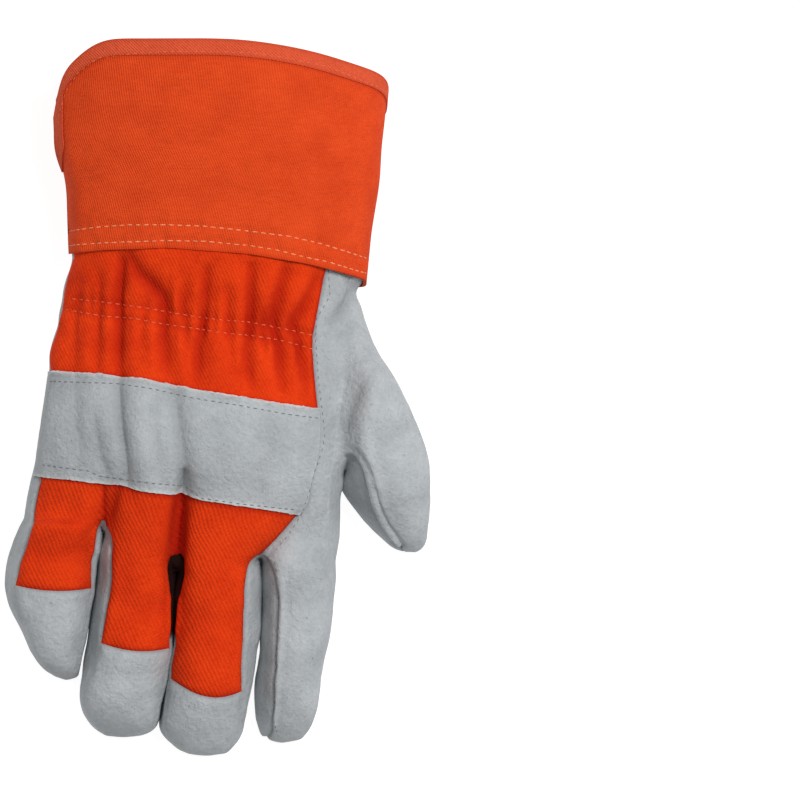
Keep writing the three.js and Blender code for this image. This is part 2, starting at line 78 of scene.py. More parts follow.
hand = table(
    "left_x left_y little_x little_y middle_x middle_y seam_x seam_y right_x right_y "
    "under_left_y under_right_y height valley fan shoulder tuck",
    [
        [-198, 220, -82, 222, 36, 211, 155, 194, 202, 189, 197, 150, 1.0, 0, 0, 8, 3],
        [-199, 194, -93, 203, 26, 194, 153, 173, 199, 159, 186, 141, 1.0, 0, 0, 8, 3],
        [-210, 157, -100, 165, 16, 152, 144, 129, 199, 133, 157, 127, 0.955, 0, 0, 12, 3],
        [-216, 119, -107, 127, 8, 108, 135, 85, 205, 106, 119, 106, 0.905, 0, 0, 18, 3],
        [-223, 87, -111, 97, 8, 73, 137, 49, 208, 73, 87, 73, 0.917, 0, 0, 20, 3],
        [-230, 62, -118, 63, 6, 39, 140, 17, 205, 35, 62, 35, 0.94, 0, 0, 20, 3],
        [-231, 35, -127, 28, 5, 4, 143, -17, 198, -4, 35, -4, 0.976, 0, 0, 20, 3],
        [-238, -4, -135, -8, -3, -32, 146, -55, 188, -49, -4, -49, 1.0, 0, 0.05, 18, 3],
        [-244, -43, -143, -46, -15, -69, 138, -91, 177, -92, -43, -94, 1.0, 0, 0.15, 14, 2],
        [-248, -77, -150, -84, -29, -105, 128, -127, 170, -130, -77, -130, 0.952, 0.02, 0.3, 10, 1],
        [-253, -110, -156, -120, -44, -137, 118, -162, 167, -168, -110, -168, 0.869, 0.06, 0.5, 8, 0],
        [-265, -159, -159, -178, -58, -232, 62, -222, 166, -207, -159, -207, 0.757, 0.2, 1, 8, 0],
    ],
)
digit_columns = "left_x left_y right_x right_y height bow inset reach"
digits = {
    "little": {
        "cloth_rows": 4,
        "rows": table(digit_columns, [
            [-272, -173, -160, -186, 0.97, 0.0, 0.13, 0.96],
            [-285, -201, -166, -210, 0.905, 0.031, 0.14, 0.97],
            [-293, -232, -169, -239, 0.865, 0.047, 0.13, 0.975],
            [-296, -259, -172, -267, 0.844, 0.062, 0.12, 0.975],
            [-292, -287, -176, -295, 0.828, 0.062, 0.1, 0.975],
            [-282, -312, -180, -320, 0.797, 0.047, 0.1, 0.975],
            [-271, -334, -184, -344, 0.75, 0.031, 0.1, 0.97],
            [-258, -361, -189, -368, 0.641, 0.031, 0.11, 0.96],
            [-244, -379, -192, -386, 0.469, 0.031, 0.12, 0.94],
            [-227, -394, -194, -399, 0.281, 0.016, 0.1, 0.93],
        ]),
    },
    "ring": {
        "cloth_rows": 5,
        "rows": table(digit_columns, [
            [-158, -189, -60, -242, 0.98, 0.0, 0.1, 0.96],
            [-165, -218, -60, -263, 0.93, 0.016, 0.165, 0.975],
            [-167, -253, -60, -287, 0.891, 0.031, 0.17, 0.975],
            [-173, -288, -61, -312, 0.859, 0.062, 0.165, 0.975],
            [-180, -336, -63, -351, 0.844, 0.09, 0.15, 0.97],
            [-185, -361, -66, -373, 0.828, 0.062, 0.13, 0.97],
            [-190, -386, -69, -396, 0.797, 0.031, 0.09, 0.97],
            [-192, -411, -76, -420, 0.75, 0.031, 0.06, 0.97],
            [-188, -436, -80, -443, 0.641, 0.031, 0.05, 0.97],
            [-177, -456, -87, -462, 0.469, 0.031, 0.05, 0.96],
            [-157, -473, -104, -474, 0.281, 0.031, 0.05, 0.95],
        ]),
    },
    "middle": {
        "cloth_rows": 7,
        "rows": table(digit_columns, [
            [-57, -242, 60, -232, 0.985, 0.0, 0.07, 0.88],
            [-57, -267, 61, -259, 0.945, 0.016, 0.045, 0.83],
            [-58, -295, 61, -290, 0.922, 0.031, 0.02, 0.825],
            [-59, -326, 60, -323, 0.891, 0.031, 0.02, 0.83],
            [-61, -355, 57, -354, 0.875, 0.047, 0.02, 0.85],
            [-65, -373, 53, -382, 0.859, 0.125, 0.02, 0.87],
            [-68, -390, 50, -406, 0.844, 0.18, 0.03, 0.9],
            [-75, -424, 46, -431, 0.797, 0.1, 0.04, 0.93],
            [-79, -453, 42, -453, 0.703, 0.031, 0.05, 0.95],
            [-76, -471, 36, -474, 0.562, 0.031, 0.06, 0.95],
            [-62, -487, 23, -490, 0.406, 0.031, 0.07, 0.95],
            [-44, -498, 13, -499, 0.25, 0.031, 0.1, 0.93],
        ]),
    },
    "index": {
        "cloth_rows": 0,
        "rows": table(digit_columns, [
            [63, -232, 166, -228, 0.98, 0.0, 0.12, 0.93],
            [63, -262, 166, -253, 0.93, 0.0, 0.19, 0.93],
            [63, -294, 164, -287, 0.891, 0.0, 0.205, 0.93],
            [62, -326, 161, -320, 0.859, 0.0, 0.22, 0.93],
            [60, -358, 156, -351, 0.844, 0.0, 0.215, 0.93],
            [56, -387, 149, -379, 0.828, 0.0, 0.25, 0.93],
            [52, -418, 144, -413, 0.781, 0.0, 0.28, 0.93],
            [52, -441, 140, -439, 0.672, 0.016, 0.27, 0.93],
            [55, -459, 132, -462, 0.531, 0.031, 0.27, 0.93],
            [59, -473, 122, -477, 0.375, 0.031, 0.25, 0.93],
            [69, -484, 114, -483, 0.25, 0.016, 0.15, 0.93],
        ]),
    },
    "thumb": {
        "cloth_rows": 0,
        "rows": table(digit_columns, [
            [183, -99, 224, 67, 1.0, 0.0, 0.12, 0.93],
            [183, -108, 245, 34, 1.0, 0.0, 0.2, 0.93],
            [180, -116, 266, -6, 0.961, 0.0, 0.27, 0.93],
            [178, -126, 282, -43, 0.908, 0.0, 0.3, 0.93],
            [184, -140, 293, -83, 0.842, 0.0, 0.28, 0.93],
            [201, -161, 297, -122, 0.75, 0.0, 0.21, 0.93],
            [219, -182, 296, -161, 0.632, 0.0, 0.18, 0.93],
            [237, -200, 293, -192, 0.474, 0.0, 0.18, 0.93],
            [248, -210, 288, -208, 0.316, 0.0, 0.18, 0.93],
            [259, -217, 278, -217, 0.184, 0.0, 0.1, 0.93],
        ]),
    },
}

points = []
faces = []


def add_point(x, y, z):
    points.append((x, y, max(z, 0.0)))
    return len(points) - 1


def join(upper, lower, piece):
    count = len(upper)
    for i in range(count):
        name = piece(i)
        if name is None:
            continue
        after = (i + 1) % count
        corners = list(dict.fromkeys([upper[i], lower[i], lower[after], upper[after]]))
        faces.append((name, corners))


def top_share(u):
    return 0.5 + 0.5 * (1 - abs(2 * u - 1) ** 2.4) ** 0.55


def under_share(u):
    return 0.08 * max(0.0, (abs(2 * u - 1) - 0.5) / 0.3) ** 1.5


side_shares = [0.46, 0.24]
lean = 0.03


def digit_loop(row, columns, height):
    def at(u, share, bow):
        x = mix(row["left_x"], row["right_x"], u) * mille
        drop = bow * finger_height * (1 - (2 * u - 1) ** 2)
        y = mix(row["left_y"], row["right_y"], u) * mille - drop
        return add_point(x, y, share * row["height"] * height)

    loop = []
    for k in range(columns + 1):
        u = mix(row["inset"], row["reach"], k / columns)
        loop.append(at(u, top_share(u), row["bow"]))
    loop += [at(1, side_shares[0], 0), at(1 - lean, side_shares[1], 0)]
    for k in range(columns, -1, -1):
        u = mix(0.1, 0.9, k / columns)
        loop.append(at(u, under_share(u), row["bow"]))
    return loop + [at(0, side_shares[1], 0), at(lean, side_shares[0], 0)]


def ridge_loop(row, columns, height):
    ridge = []
    for k in range(columns + 1):
        u = k / columns
        x = mix(row["left_x"], row["right_x"], u) * mille
        drop = row["bow"] * finger_height * (1 - (2 * u - 1) ** 2)
        y = mix(row["left_y"], row["right_y"], u) * mille - drop
        ridge.append(add_point(x, y, row["height"] * height * 0.5))
    return ridge + [ridge[-1]] * 2 + ridge[::-1] + [ridge[0]] * 2


def add_digit(first, digit, columns, height, piece):
    upper = first
    for r, row in enumerate(digit["rows"]):
        last = r == len(digit["rows"]) - 1
        make_loop = ridge_loop if last else digit_loop
        lower = make_loop(row, columns, height)
        join(upper, lower, lambda i: piece(i, r))
        upper = lower


def hand_loop(row):
    width = row["right_x"] - row["left_x"]
    xs = [row["left_x"] + 7, row["little_x"], row["middle_x"], row["seam_x"]]
    xs.append(row["right_x"] - row["shoulder"])
    ys = [row["left_y"], row["little_y"], row["middle_y"], row["seam_y"], row["right_y"]]
    loop = []
    for k in range(across + 1):
        x = smooth(xs, k / per_finger)
        y = smooth(ys, k / per_finger)
        from_crotch = min(k % per_finger, per_finger - k % per_finger)
        lowered = [1, 0.35, 0, 0][from_crotch] if 1 < k < across - 1 else 0
        share = top_share((x - row["left_x"]) / width) * (1 - row["valley"] * lowered)
        loop.append(add_point(x * mille, y * mille, share * row["height"] * hand_height))

    def side(x, y, under_y, tuck):
        pair = []
        for i, t in enumerate([0.4, 0.95]):
            z = side_shares[i] * row["height"] * hand_height
            pair.append(add_point((x + tuck * i) * mille, mix(y, under_y, t) * mille, z))
        return pair

    loop += side(row["right_x"], row["right_y"], row["under_right_y"], 0)
    crotches = hand[-1]
    under_x = [row["left_x"] + width * u for u in (0.1, 0.3, 0.5, 0.7, 0.9)]
    bend = 1 if row["under_left_y"] == row["left_y"] else 5
    shares = (0, 0.25, 0.5, 0.75, 1)
    under_y = [mix(row["under_left_y"], row["under_right_y"], u**bend) for u in shares]
    for i, name in enumerate(["little", "middle", "seam"], 1):
        under_x[i] = mix(under_x[i], crotches[name + "_x"], row["fan"])
        under_y[i] = mix(under_y[i], crotches[name + "_y"], row["fan"])
    for k in range(across, -1, -1):
        x = smooth(under_x, k / per_finger)
        y = smooth(under_y, k / per_finger)
        share = under_share((x - row["left_x"]) / width)
        loop.append(add_point(x * mille, y * mille, share * row["height"] * hand_height))
    return loop + side(row["left_x"], row["left_y"], row["under_left_y"], row["tuck"])[::-1]


hand_loops = [hand_loop(row) for row in hand]
under_side = across + 3
left_side = 2 * across + 3
digit_names = ["little", "ring", "middle", "index"]
back_names = ["little_finger_back", "ring_finger_back", "middle_finger_back"]
front_names = ["palm", "ring_finger_front", "middle_finger_front", "index_and_thumb"]


def under_index(k):
    return under_side + across - k


def hand_piece(r, i):
    if i < across:
        finger = i // per_finger
        if finger == 3:
            return "index_and_thumb"
        if r < strap_start:
            return "back_cloth"
        return "knuckle_strap" if r < strap_end else back_names[finger]
    if i < under_side:
        return None if thumb_start <= r < thumb_crotch else "index_and_thumb"
    if i < left_side:
        finger = (across - 1 - (i - under_side)) // per_finger
        if r < index_seam:
            return "palm"
        if r == index_seam:
            return "index_and_thumb" if finger == 3 else "palm"
        return front_names[finger]
    if i < left_side + 2 or r >= strap_end:
        return "palm"
    return "back_cloth" if r < strap_start else "knuckle_strap"


for r in range(len(hand_loops) - 1):
    join(hand_loops[r], hand_loops[r + 1], lambda i: hand_piece(r, i))

crotch_loop = hand_loops[-1]
webs = [[crotch_loop[2 * across + 5], crotch_loop[2 * across + 4]]]
for f in range(1, 4):
    back = points[crotch_loop[per_finger * f]]
    front = points[crotch_loop[under_index(per_finger * f)]]
    webs.append([add_point(*[mix(a, b, t) for a, b in zip(back, front)]) for t in (0.36, 0.7)])
webs.append([crotch_loop[across + 1], crotch_loop[across + 2]])
side_names = [
    "palm",
    "fourchette_little_ring",
    "fourchette_ring_middle",
    "fourchette_middle_index",
    "index_and_thumb",
]


def digit_piece(name, f, i, r):
    if i < per_finger:
        if name == "index":
            return "index_and_thumb"
        return back_names[f] if r < digits[name]["cloth_rows"] else name + "_fingertip"
    if i < per_finger + 3:
        return side_names[f + 1]
    return front_names[f] if i < 2 * per_finger + 3 else side_names[f]


for f, name in enumerate(digit_names):
    first = [crotch_loop[per_finger * f + k] for k in range(per_finger + 1)]
    first += webs[f + 1]
    first += [crotch_loop[under_index(per_finger * f + k)] for k in range(per_finger, -1, -1)]
    first += webs[f][::-1]
    add_digit(
        first, digits[name], per_finger, finger_height, lambda i, r: digit_piece(name, f, i, r)
    )

thumb_rows = [8, 7, 6, 5, 4, 3]
thumb_first = [hand_loops[r][across] for r in thumb_rows]
thumb_first += hand_loops[thumb_start][across + 1 : across + 3]
thumb_first += [hand_loops[r][under_index(across)] for r in thumb_rows[::-1]]
thumb_first += hand_loops[thumb_crotch][across + 1 : across + 3][::-1]
add_digit(
    thumb_first,
    digits["thumb"],
    thumb_columns,
    thumb_height,
    lambda i, r: "index_and_thumb" if i < thumb_columns + 3 else "thumb_front",
)
hand_cage = (np.array(points), list(faces))


def cage_object(name, cage, uv_of):
    places, cage_faces = cage
    mesh = bpy.data.meshes.new(name)
    mesh.from_pydata([tuple(p) for p in places], [], [c for _, c in cage_faces])
    names = list(dict.fromkeys(n for n, _ in cage_faces))
    for n in names:
        mesh.materials.append(bpy.data.materials.new(n + "_cage"))
    mesh.polygons.foreach_set("material_index", [names.index(n) for n, _ in cage_faces])
    layer = mesh.uv_layers.new(name="cloth")
    for polygon, (n, _) in zip(mesh.polygons, cage_faces):
        for loop in polygon.loop_indices:
            layer.data[loop].uv = uv_of(n, mesh.loops[loop].vertex_index)
    made = bpy.data.objects.new(name, mesh)
    bpy.context.collection.objects.link(made)
    return made, names


def vertex_array(mesh):
    flat = np.empty(len(mesh.vertices) * 3)
    mesh.vertices.foreach_get("co", flat)
    return flat.reshape(-1, 3)


def subdivided(made, levels):
    modifier = made.modifiers.new("smooth", "SUBSURF")
    modifier.levels = levels
    modifier.render_levels = levels
    modifier.boundary_smooth = "PRESERVE_CORNERS"
    result = made.evaluated_get(bpy.context.evaluated_depsgraph_get())
    mesh = bpy.data.meshes.new_from_object(result)
    made.modifiers.remove(modifier)
    return mesh


def dense_surface(name, cage, uv_of, levels):
    made, names = cage_object(name, cage, uv_of)
    wanted = cage[0]
    for _ in range(4):
        reached = vertex_array(subdivided(made, 2))[: len(wanted)]
        moved = vertex_array(made.data) + 0.8 * (wanted - reached)
        made.data.vertices.foreach_set("co", moved.ravel())
        made.data.update()
    mesh = subdivided(made, levels)
    bpy.data.objects.remove(made)
    return mesh, names


back_middle = 9
rows_through = {}
for r, loop in enumerate(hand_loops):
    for k in range(across + 1):
        rows_through[loop[k]] = (loop, k)


def hand_uv(name, index):
    x, y, _ = hand_cage[0][index]
    if name == "back_cloth" and index in rows_through:
        loop, k = rows_through[index]
        step = 1 if k > back_middle else -1
        u = 0.0
        for j in range(back_middle, k, step):
            u += step * np.linalg.norm(hand_cage[0][loop[j]] - hand_cage[0][loop[j + step]])
        return (u + hand_cage[0][loop[back_middle]][0], y)
    return (x, y)


hand_mesh, hand_names = dense_surface("hand_surface", hand_cage, hand_uv, 3)


class Surface:
    def __init__(self, mesh, names):
        self.names = names
        self.points = vertex_array(mesh)
        flat = np.empty(len(mesh.loops), dtype=np.int64)
        mesh.loops.foreach_get("vertex_index", flat)
        self.quads = flat.reshape(-1, 4)
        self.owner = np.empty(len(mesh.polygons), dtype=np.int64)
        mesh.polygons.foreach_get("material_index", self.owner)
        uv = np.empty(len(mesh.loops) * 2)
        mesh.uv_layers["cloth"].data.foreach_get("uv", uv)
        self.uv = uv.reshape(-1, 4, 2)
        self.rest = self.points.copy()
        # Painted shade for each point, none until it is set.
        self.hollow_shade = np.zeros(len(self.points))
        self.sewn = np.ones(len(self.points))
        self.update_normals()

    def update_normals(self):
        a, b, c, d = [self.points[self.quads[:, k]] for k in range(4)]
        face = np.cross(c - a, d - b)
        self.normals = np.zeros_like(self.points)
        for k in range(4):
            np.add.at(self.normals, self.quads[:, k], face)
        lengths = np.linalg.norm(self.normals, axis=1)[:, None]
        self.normals /= np.maximum(lengths, 1e-12)

    def of(self, *wanted):
        inside = np.zeros(len(self.points), dtype=bool)
        for name in wanted:
            inside[self.quads[self.owner == self.names.index(name)].ravel()] = True
        return inside

    def seams(self, left_out):
        found = np.zeros(len(self.points), dtype=int)
        for name in self.names:
            if name not in left_out:
                found += self.of(name)
        border = found > 1
        for name in left_out:
            border &= ~self.of(name)
        return border

    def push(self, amount):
        self.points += self.normals * np.asarray(amount)[:, None]

    def relax(self, weight, rounds):
        after = np.roll(self.quads, -1, axis=1)
        pairs = np.unique(np.sort(np.stack([self.quads, after], axis=-1).reshape(-1, 2)), axis=0)
        near = (weight[pairs] > 0.01).any(axis=1)
        a, b = pairs[near].T
        count = len(self.points)
        degree = np.bincount(a, minlength=count) + np.bincount(b, minlength=count)
        share = (0.7 * weight / np.maximum(degree, 1))[:, None]
        for _ in range(rounds):
            step = self.points[b] - self.points[a]
            pull = [
                np.bincount(a, step[:, k], count) - np.bincount(b, step[:, k], count)
                for k in range(3)
            ]
            self.points += np.stack(pull, axis=1) * share


hand_surface = Surface(hand_mesh, hand_names)

# The gathers, folds and seams of the hand: elastic sewn behind two stitch rows draws in the drill
# of the back, leather and strap lie in folds, and each seam pulls its two edges into a groove.
# Lines are in thousandths of the length; depths and widths in the tables are in millimetres.
# Painted shade is also worked out here: darker colour in the valleys, folds, crotches, the
# ring-middle slot and the thumb's wall.
mm = 0.001
pleat_strength = 1.3
ridge_height = 1.1 * mm
row_groove = 0.7 * mm
fold_strength = 1.15
seam_groove = 0.75 * mm
seam_swell = 0.3 * mm
pucker_height = 0.3 * mm
welt_height = 1.7 * mm
welt_groove = 1.2 * mm
strap_groove = 0.3 * mm
notch_depth = 2.2 * mm


def distance_to(places, targets, reach=0.02):
    tree = KDTree(len(targets))
    for i, target in enumerate(targets):
        tree.insert(target, i)
    tree.balance()
    return np.array([min(tree.find(p)[2], reach) for p in places])


def line_distance(places, line):
    best = np.full(len(places), 1.0)
    along = np.zeros(len(places))
    nodes = np.array(line, dtype=float) * mille
    run = 0.0
    for a, b in zip(nodes[:-1], nodes[1:]):
        d = b - a
        t = np.clip(((places[:, :2] - a) @ d) / (d @ d), 0, 1)
        away = np.linalg.norm(places[:, :2] - a - t[:, None] * d, axis=1)
        nearer = away < best
        best[nearer] = away[nearer]
        along[nearer] = run + t[nearer] * math.hypot(*d)
        run += math.hypot(*d)
    return best, along / run


def lumps(places, size, seed):
    q = places / np.asarray(size) + seed * 7.31
    cell = np.floor(q)
    f = q - cell
    f = f * f * (3 - 2 * f)
    total = np.zeros(len(places))
    for corner in np.ndindex(*([2] * places.shape[1])):
        corner = np.array(corner)
        weight = np.prod(np.where(corner, f, 1 - f), axis=1)
        dot = (cell + corner) @ np.array([127.1, 311.7, 74.7])[: places.shape[1]] + seed
        total += weight * (2 * np.mod(np.sin(dot) * 43758.5453, 1.0) - 1)
    return total


def bell(distance, width):
    return np.exp(-((distance / width) ** 2))


def crease(distance, width):
    soft = 0.7 * width
    return np.exp((soft - np.sqrt(distance**2 + soft**2)) / width)


elastic_rows = [
    [(-199, 137), (-167, 134), (-131, 129), (-96, 124), (-68, 119), (-33, 113), (3, 108),
     (44, 105), (76, 99), (111, 92), (135, 86)],
    [(-208, 122), (-157, 113), (-115, 110), (-96, 106), (-68, 101), (-24, 95), (6, 90),
     (48, 86), (87, 80), (111, 74), (135, 67)],
]
pleats = table("line depth width", [
    [[(-192, 157), (-195, 94), (-198, 43)], 0.8, 2.4],
    [[(-162, 169), (-164, 122), (-166, 41)], 1.2, 2.0],
    [[(-132, 189), (-135, 136), (-136, 102), (-136, 29)], 2.3, 1.7],
    [[(-120, 194), (-107, 172), (-90, 155), (-76, 140), (-72, 122), (-73, 83), (-68, 32)], 2.1, 2.4],
    [[(-97, 138), (-103, 94), (-106, 57)], 0.8, 1.6],
    [[(-41, 158), (-45, 129), (-40, 69)], 1.2, 1.8],
    [[(-13, 175), (-15, 113), (-24, 77), (-27, 13)], 1.9, 2.0],
    [[(17, 147), (15, 101), (22, 52)], 0.9, 1.6],
    [[(50, 180), (48, 136), (48, 103), (43, 66), (50, 10)], 2.0, 1.7],
    [[(97, 175), (89, 147), (79, 103), (87, 69), (93, 7)], 2.1, 1.9],
    [[(142, 164), (125, 131), (110, 103), (117, 73), (128, 4)], 1.9, 2.1],
    [[(66, 119), (64, 87), (68, 63)], 0.9, 1.4],
])
folds = table("line depth width", [
    [[(-194, 24), (-194, -32), (-188, -88)], 1.3, 2.6],
    [[(-136, 29), (-134, -32), (-127, -77), (-120, -130)], 3.0, 2.2],
    [[(-170, -29), (-164, -67), (-153, -110)], 1.5, 2.4],
    [[(-90, -15), (-83, -60), (-73, -133)], 1.1, 2.6],
    [[(-59, 10), (-52, -32), (-45, -81), (-40, -138)], 2.3, 2.4],
    [[(-45, -110), (-50, -158), (-54, -200), (-58, -270)], 4.6, 1.6],
    [[(-106, 1), (-99, -60), (-94, -122)], -1.4, 4.0],
    [[(-150, 1), (-143, -46), (-138, -99)], -0.9, 2.6],
    [[(13, 1), (8, -60), (16, -144)], 0.3, 4.5],
    [[(72, -10), (69, -81), (58, -155)], 0.8, 4.5],
    [[(-135, -113), (-146, -144), (-157, -178)], 2.0, 2.0],
    [[(198, 147), (181, 126), (164, 103)], 2.3, 1.9],
    [[(173, 189), (184, 169), (197, 152)], 1.2, 1.8],
    [[(205, 108), (187, 95), (167, 69)], 1.2, 2.0],
    [[(223, 71), (209, 59), (192, 49)], 0.8, 1.8],
    [[(217, 35), (201, 15), (185, -18), (178, -60)], 0.9, 1.8],
    [[(159, 94), (150, 24), (155, -60)], 0.6, 3.4],
    [[(285, -39), (254, -49), (223, -69)], 0.8, 3.0],
    [[(293, -144), (262, -152), (234, -161)], 0.6, 2.6],
    [[(-269, -211), (-230, -222), (-174, -222)], 0.8, 3.0],
    [[(-286, -276), (-233, -290), (-177, -284)], 0.6, 2.4],
    [[(-146, -284), (-107, -294), (-68, -290)], 0.6, 3.0],
    [[(-169, -379), (-121, -390), (-73, -382)], 0.6, 2.6],
    [[(-51, -301), (-9, -312), (41, -303)], 0.6, 3.0],
    [[(-68, -432), (-16, -443), (38, -432)], 0.6, 2.4],
    [[(72, -281), (117, -290), (163, -278)], 0.8, 3.0],
    [[(64, -373), (106, -382), (148, -368)], 0.7, 2.6],
    [[(117, -186), (142, -228), (159, -270)], 0.6, 3.4],
])

# The fold where the thumb leaves the hand is one leather, so the surface is smoothed there.
crotch_fold = [(170, -60), (177, -99), (183, -108)]
ball_fold = [(190, 110), (181, 66), (177, 10), (171, -55)]
p = hand_surface.rest
away = line_distance(p, ball_fold)[0]
hand_surface.relax(bell(away, 0.009) * (hand_surface.normals[:, 2] > 0), 150)
away = line_distance(p, crotch_fold)[0]
hand_surface.relax(bell(away, 0.007), 25)
away = line_distance(p, [(166, -57), (162, -91)])[0]
hand_surface.relax(bell(away, 0.004), 60)
finger_bases = [(-159, -178), (-108, -211), (-58, -232), (2, -229), (62, -222), (166, -207)]
away = line_distance(p, finger_bases)[0]
crotches = np.array([(-159, -178, 0), (-58, -232, 0), (62, -222, 0)]) * mille
from_crotch = distance_to(p * [1, 1, 0], crotches)
high = p[:, 2] > 0.02
hand_surface.relax(bell(away, 0.006) * (1 - bell(from_crotch, 0.002)) * high, 60)
tip_ends = np.array([(-227, -394, 0), (-194, -399, 0), (69, -484, 0), (114, -483, 0)]) * mille
hand_surface.relax(bell(distance_to(p * [1, 1, 0], tip_ends), 0.0045), 70)
hand_surface.update_normals()
p = hand_surface.points.copy()
top = np.clip(hand_surface.normals[:, 2] * 2.0, 0, 1)
cloth_back = hand_surface.of("back_cloth")
leather_names = [n for n in hand_names if n not in ("back_cloth", *back_names)]
is_leather = hand_surface.of(*leather_names)
seam_points = p[hand_surface.seams(["knuckle_strap"])]
from_seam = distance_to(p, seam_points)
strap_inside = hand_surface.of("knuckle_strap")
strap_border = strap_inside & hand_surface.of(*[n for n in hand_names if n != "knuckle_strap"])
from_strap = distance_to(p, p[strap_border])

shape = np.zeros(len(p))
shape += 0.7 * mm * lumps(p, 0.022, 1) + 0.35 * mm * lumps(p, 0.009, 2) * (0.4 + 0.6 * is_leather)
shape += 0.13 * mm * lumps(p, 0.0035, 3)
gathered = np.zeros(len(p))
valleys = np.full(len(p), 1.0)
for pleat in pleats:
    away, along = line_distance(p, pleat["line"])
    fade = np.sin(np.pi * np.clip(0.14 + 0.84 * along, 0, 1)) ** 0.5
    gathered -= pleat_strength * pleat["depth"] * mm * crease(away, pleat["width"] * mm) * fade
    valleys = np.minimum(valleys, away + 0.004 * (1 - pleat["depth"] / 3))
gathered += ridge_height * (1 - bell(valleys, 0.0048))
fine = lumps(p[:, :2] * [1, 0.22], 0.0021, 4) * 0.55 * mm
near_rows = np.zeros(len(p))
for row in elastic_rows:
    away = line_distance(p, row)[0]
    gathered -= row_groove * bell(away, 0.0012)
    near_rows = np.maximum(near_rows, bell(away, 0.008))
gathered += fine * (0.2 + 1.2 * near_rows)
near_cuff = np.clip((p[:, 1] - 0.0545) / 0.004, 0, 1)
shape += np.where(cloth_back, gathered * top, 0) * (1 - near_cuff)
# Painted shade: the hollow shade darkens the drill in its pleat valleys and the leather in its folds.
hollow_shade = np.where(cloth_back, np.clip(-gathered / (2.6 * mm), 0, 1), 0)
for fold in folds:
    away, along = line_distance(p, fold["line"])
    fade = np.sin(np.pi * np.clip(0.12 + 0.8 * along, 0, 1)) ** 0.6
    pressed = fold_strength * fold["depth"] * crease(away, fold["width"] * mm) * fade * top
    shape -= pressed * mm
    hollow_shade = np.maximum(hollow_shade, np.clip(pressed / 3.2, 0, 1))
from_fold = line_distance(p, crotch_fold)[0]
sewn = 1 - bell(from_fold, 0.006)
tips = hand_surface.of(*[n for n in hand_names if n.endswith("fingertip")])
tip_sides = tips & hand_surface.seams(["knuckle_strap"]) & ~hand_surface.of(*back_names)
sewn *= 1 - 0.85 * bell(distance_to(p, p[tip_sides]), 0.003)
hand_surface.sewn = sewn
shape -= seam_groove * bell(from_seam, 0.001) * sewn
shape += seam_swell * (1 - bell(from_seam, 0.004))
pucker = lumps(p, 0.0042, 5) * bell(from_seam - 0.003, 0.0025)
shape += pucker_height * pucker * sewn
welt = hand_surface.of("index_and_thumb") & hand_surface.of("thumb_front") & (p[:, 2] > 0.012)
from_welt = distance_to(p, p[welt])
clear = 1 - bell(from_fold, 0.008)
raised = welt_height * bell(from_welt, 0.0011) - welt_groove * bell(from_welt - 0.0024, 0.001)
shape += raised * clear
shape -= np.where(strap_inside, 0, strap_groove * bell(from_strap, 0.0018))
notch = [(203, 150), (202, 146)]
away = line_distance(p, notch)[0]
shape -= notch_depth * bell(away, 0.004)
steep = np.abs(hand_surface.normals[:, 2]) < 0.5
touching = table("line swell", [
    [[(-160, -180), (-163, -194), (-166, -214)], 1.3],
    [[(-59, -239), (-59, -270), (-60, -326)], 0.7],
    [[(180, -98), (178, -119)], 1.3],
    [[(199, 172), (199, 164)], 1.5],
])
for place in touching:
    away = line_distance(p, place["line"])[0]
    shape += place["swell"] * mm * bell(away, 0.0028) * steep
shape = np.where(p[:, 2] < 0.002, np.minimum(shape, 0.3 * mm), shape)
# Painted shade: the fourchettes darken near each finger crotch.
webs_inside = hand_surface.of(*[n for n in hand_names if n.startswith("fourchette")])
hollow_shade = np.maximum(hollow_shade, 1.2 * bell(from_crotch, 0.004) * webs_inside)
# Painted shadow: the slot between the ring and middle fingers is coloured near black.
closed_slot_shadow = hand_surface.of("fourchette_ring_middle") * np.clip((p[:, 1] + 0.094) / 0.006, 0, 1)
hollow_shade = np.maximum(hollow_shade, 1.6 * closed_slot_shadow)
# Painted shade: the thumb's inner wall is darkened, most near the pocket at its crotch.
thumb_wall_shade = hand_surface.of("thumb_front") & (hand_surface.normals[:, 0] < 0)
from_pocket = distance_to(p * [1, 1, 0], np.array([(184, -83, 0), (177, -77, 0)]) * mille)
hollow_shade = np.maximum(hollow_shade, (0.15 + 0.85 * bell(from_pocket, 0.0045)) * thumb_wall_shade)
hand_surface.hollow_shade = hollow_shade
hand_surface.push(shape)
hand_surface.points[:, 2] = np.maximum(hand_surface.points[:, 2], 0)
hand_surface.update_normals()

# The leather pieces and the knuckle strap: grey split leather with a short nap.
# The pieces are sewn edge to edge. The strap is laid over the back of the hand, with its long
# edges cut raw and its end at the index finger sewn into the seam.
leather_thickness = 0.0014
strap_thickness = 0.0016
strap_lift = 0.0008
strap_fray = 0.0002


# A wire is a shader value that takes plain maths; a shader makes nodes and links them.
class Wire:
    def __init__(self, shader, socket):
        self.shader = shader
        self.socket = socket

    def maths(self, operation, *others):
        return self.shader.node("Math", [self, *others], operation=operation)

    def __add__(self, other):
        return self.maths("ADD", other)

    def __radd__(self, other):
        return self.maths("ADD", other)

    def __sub__(self, other):
        return self.maths("SUBTRACT", other)

    def __rsub__(self, other):
        return self.shader.node("Math", [other, self], operation="SUBTRACT")

    def __mul__(self, other):
        return self.maths("MULTIPLY", other)

    def __rmul__(self, other):
        return self.maths("MULTIPLY", other)

    def power(self, other):
        return self.maths("POWER", other)

    def sine(self):
        return self.maths("SINE")

    def clamped(self, low, high):
        return self.shader.node("MapRange", [self, low, high, 0.0, 1.0])


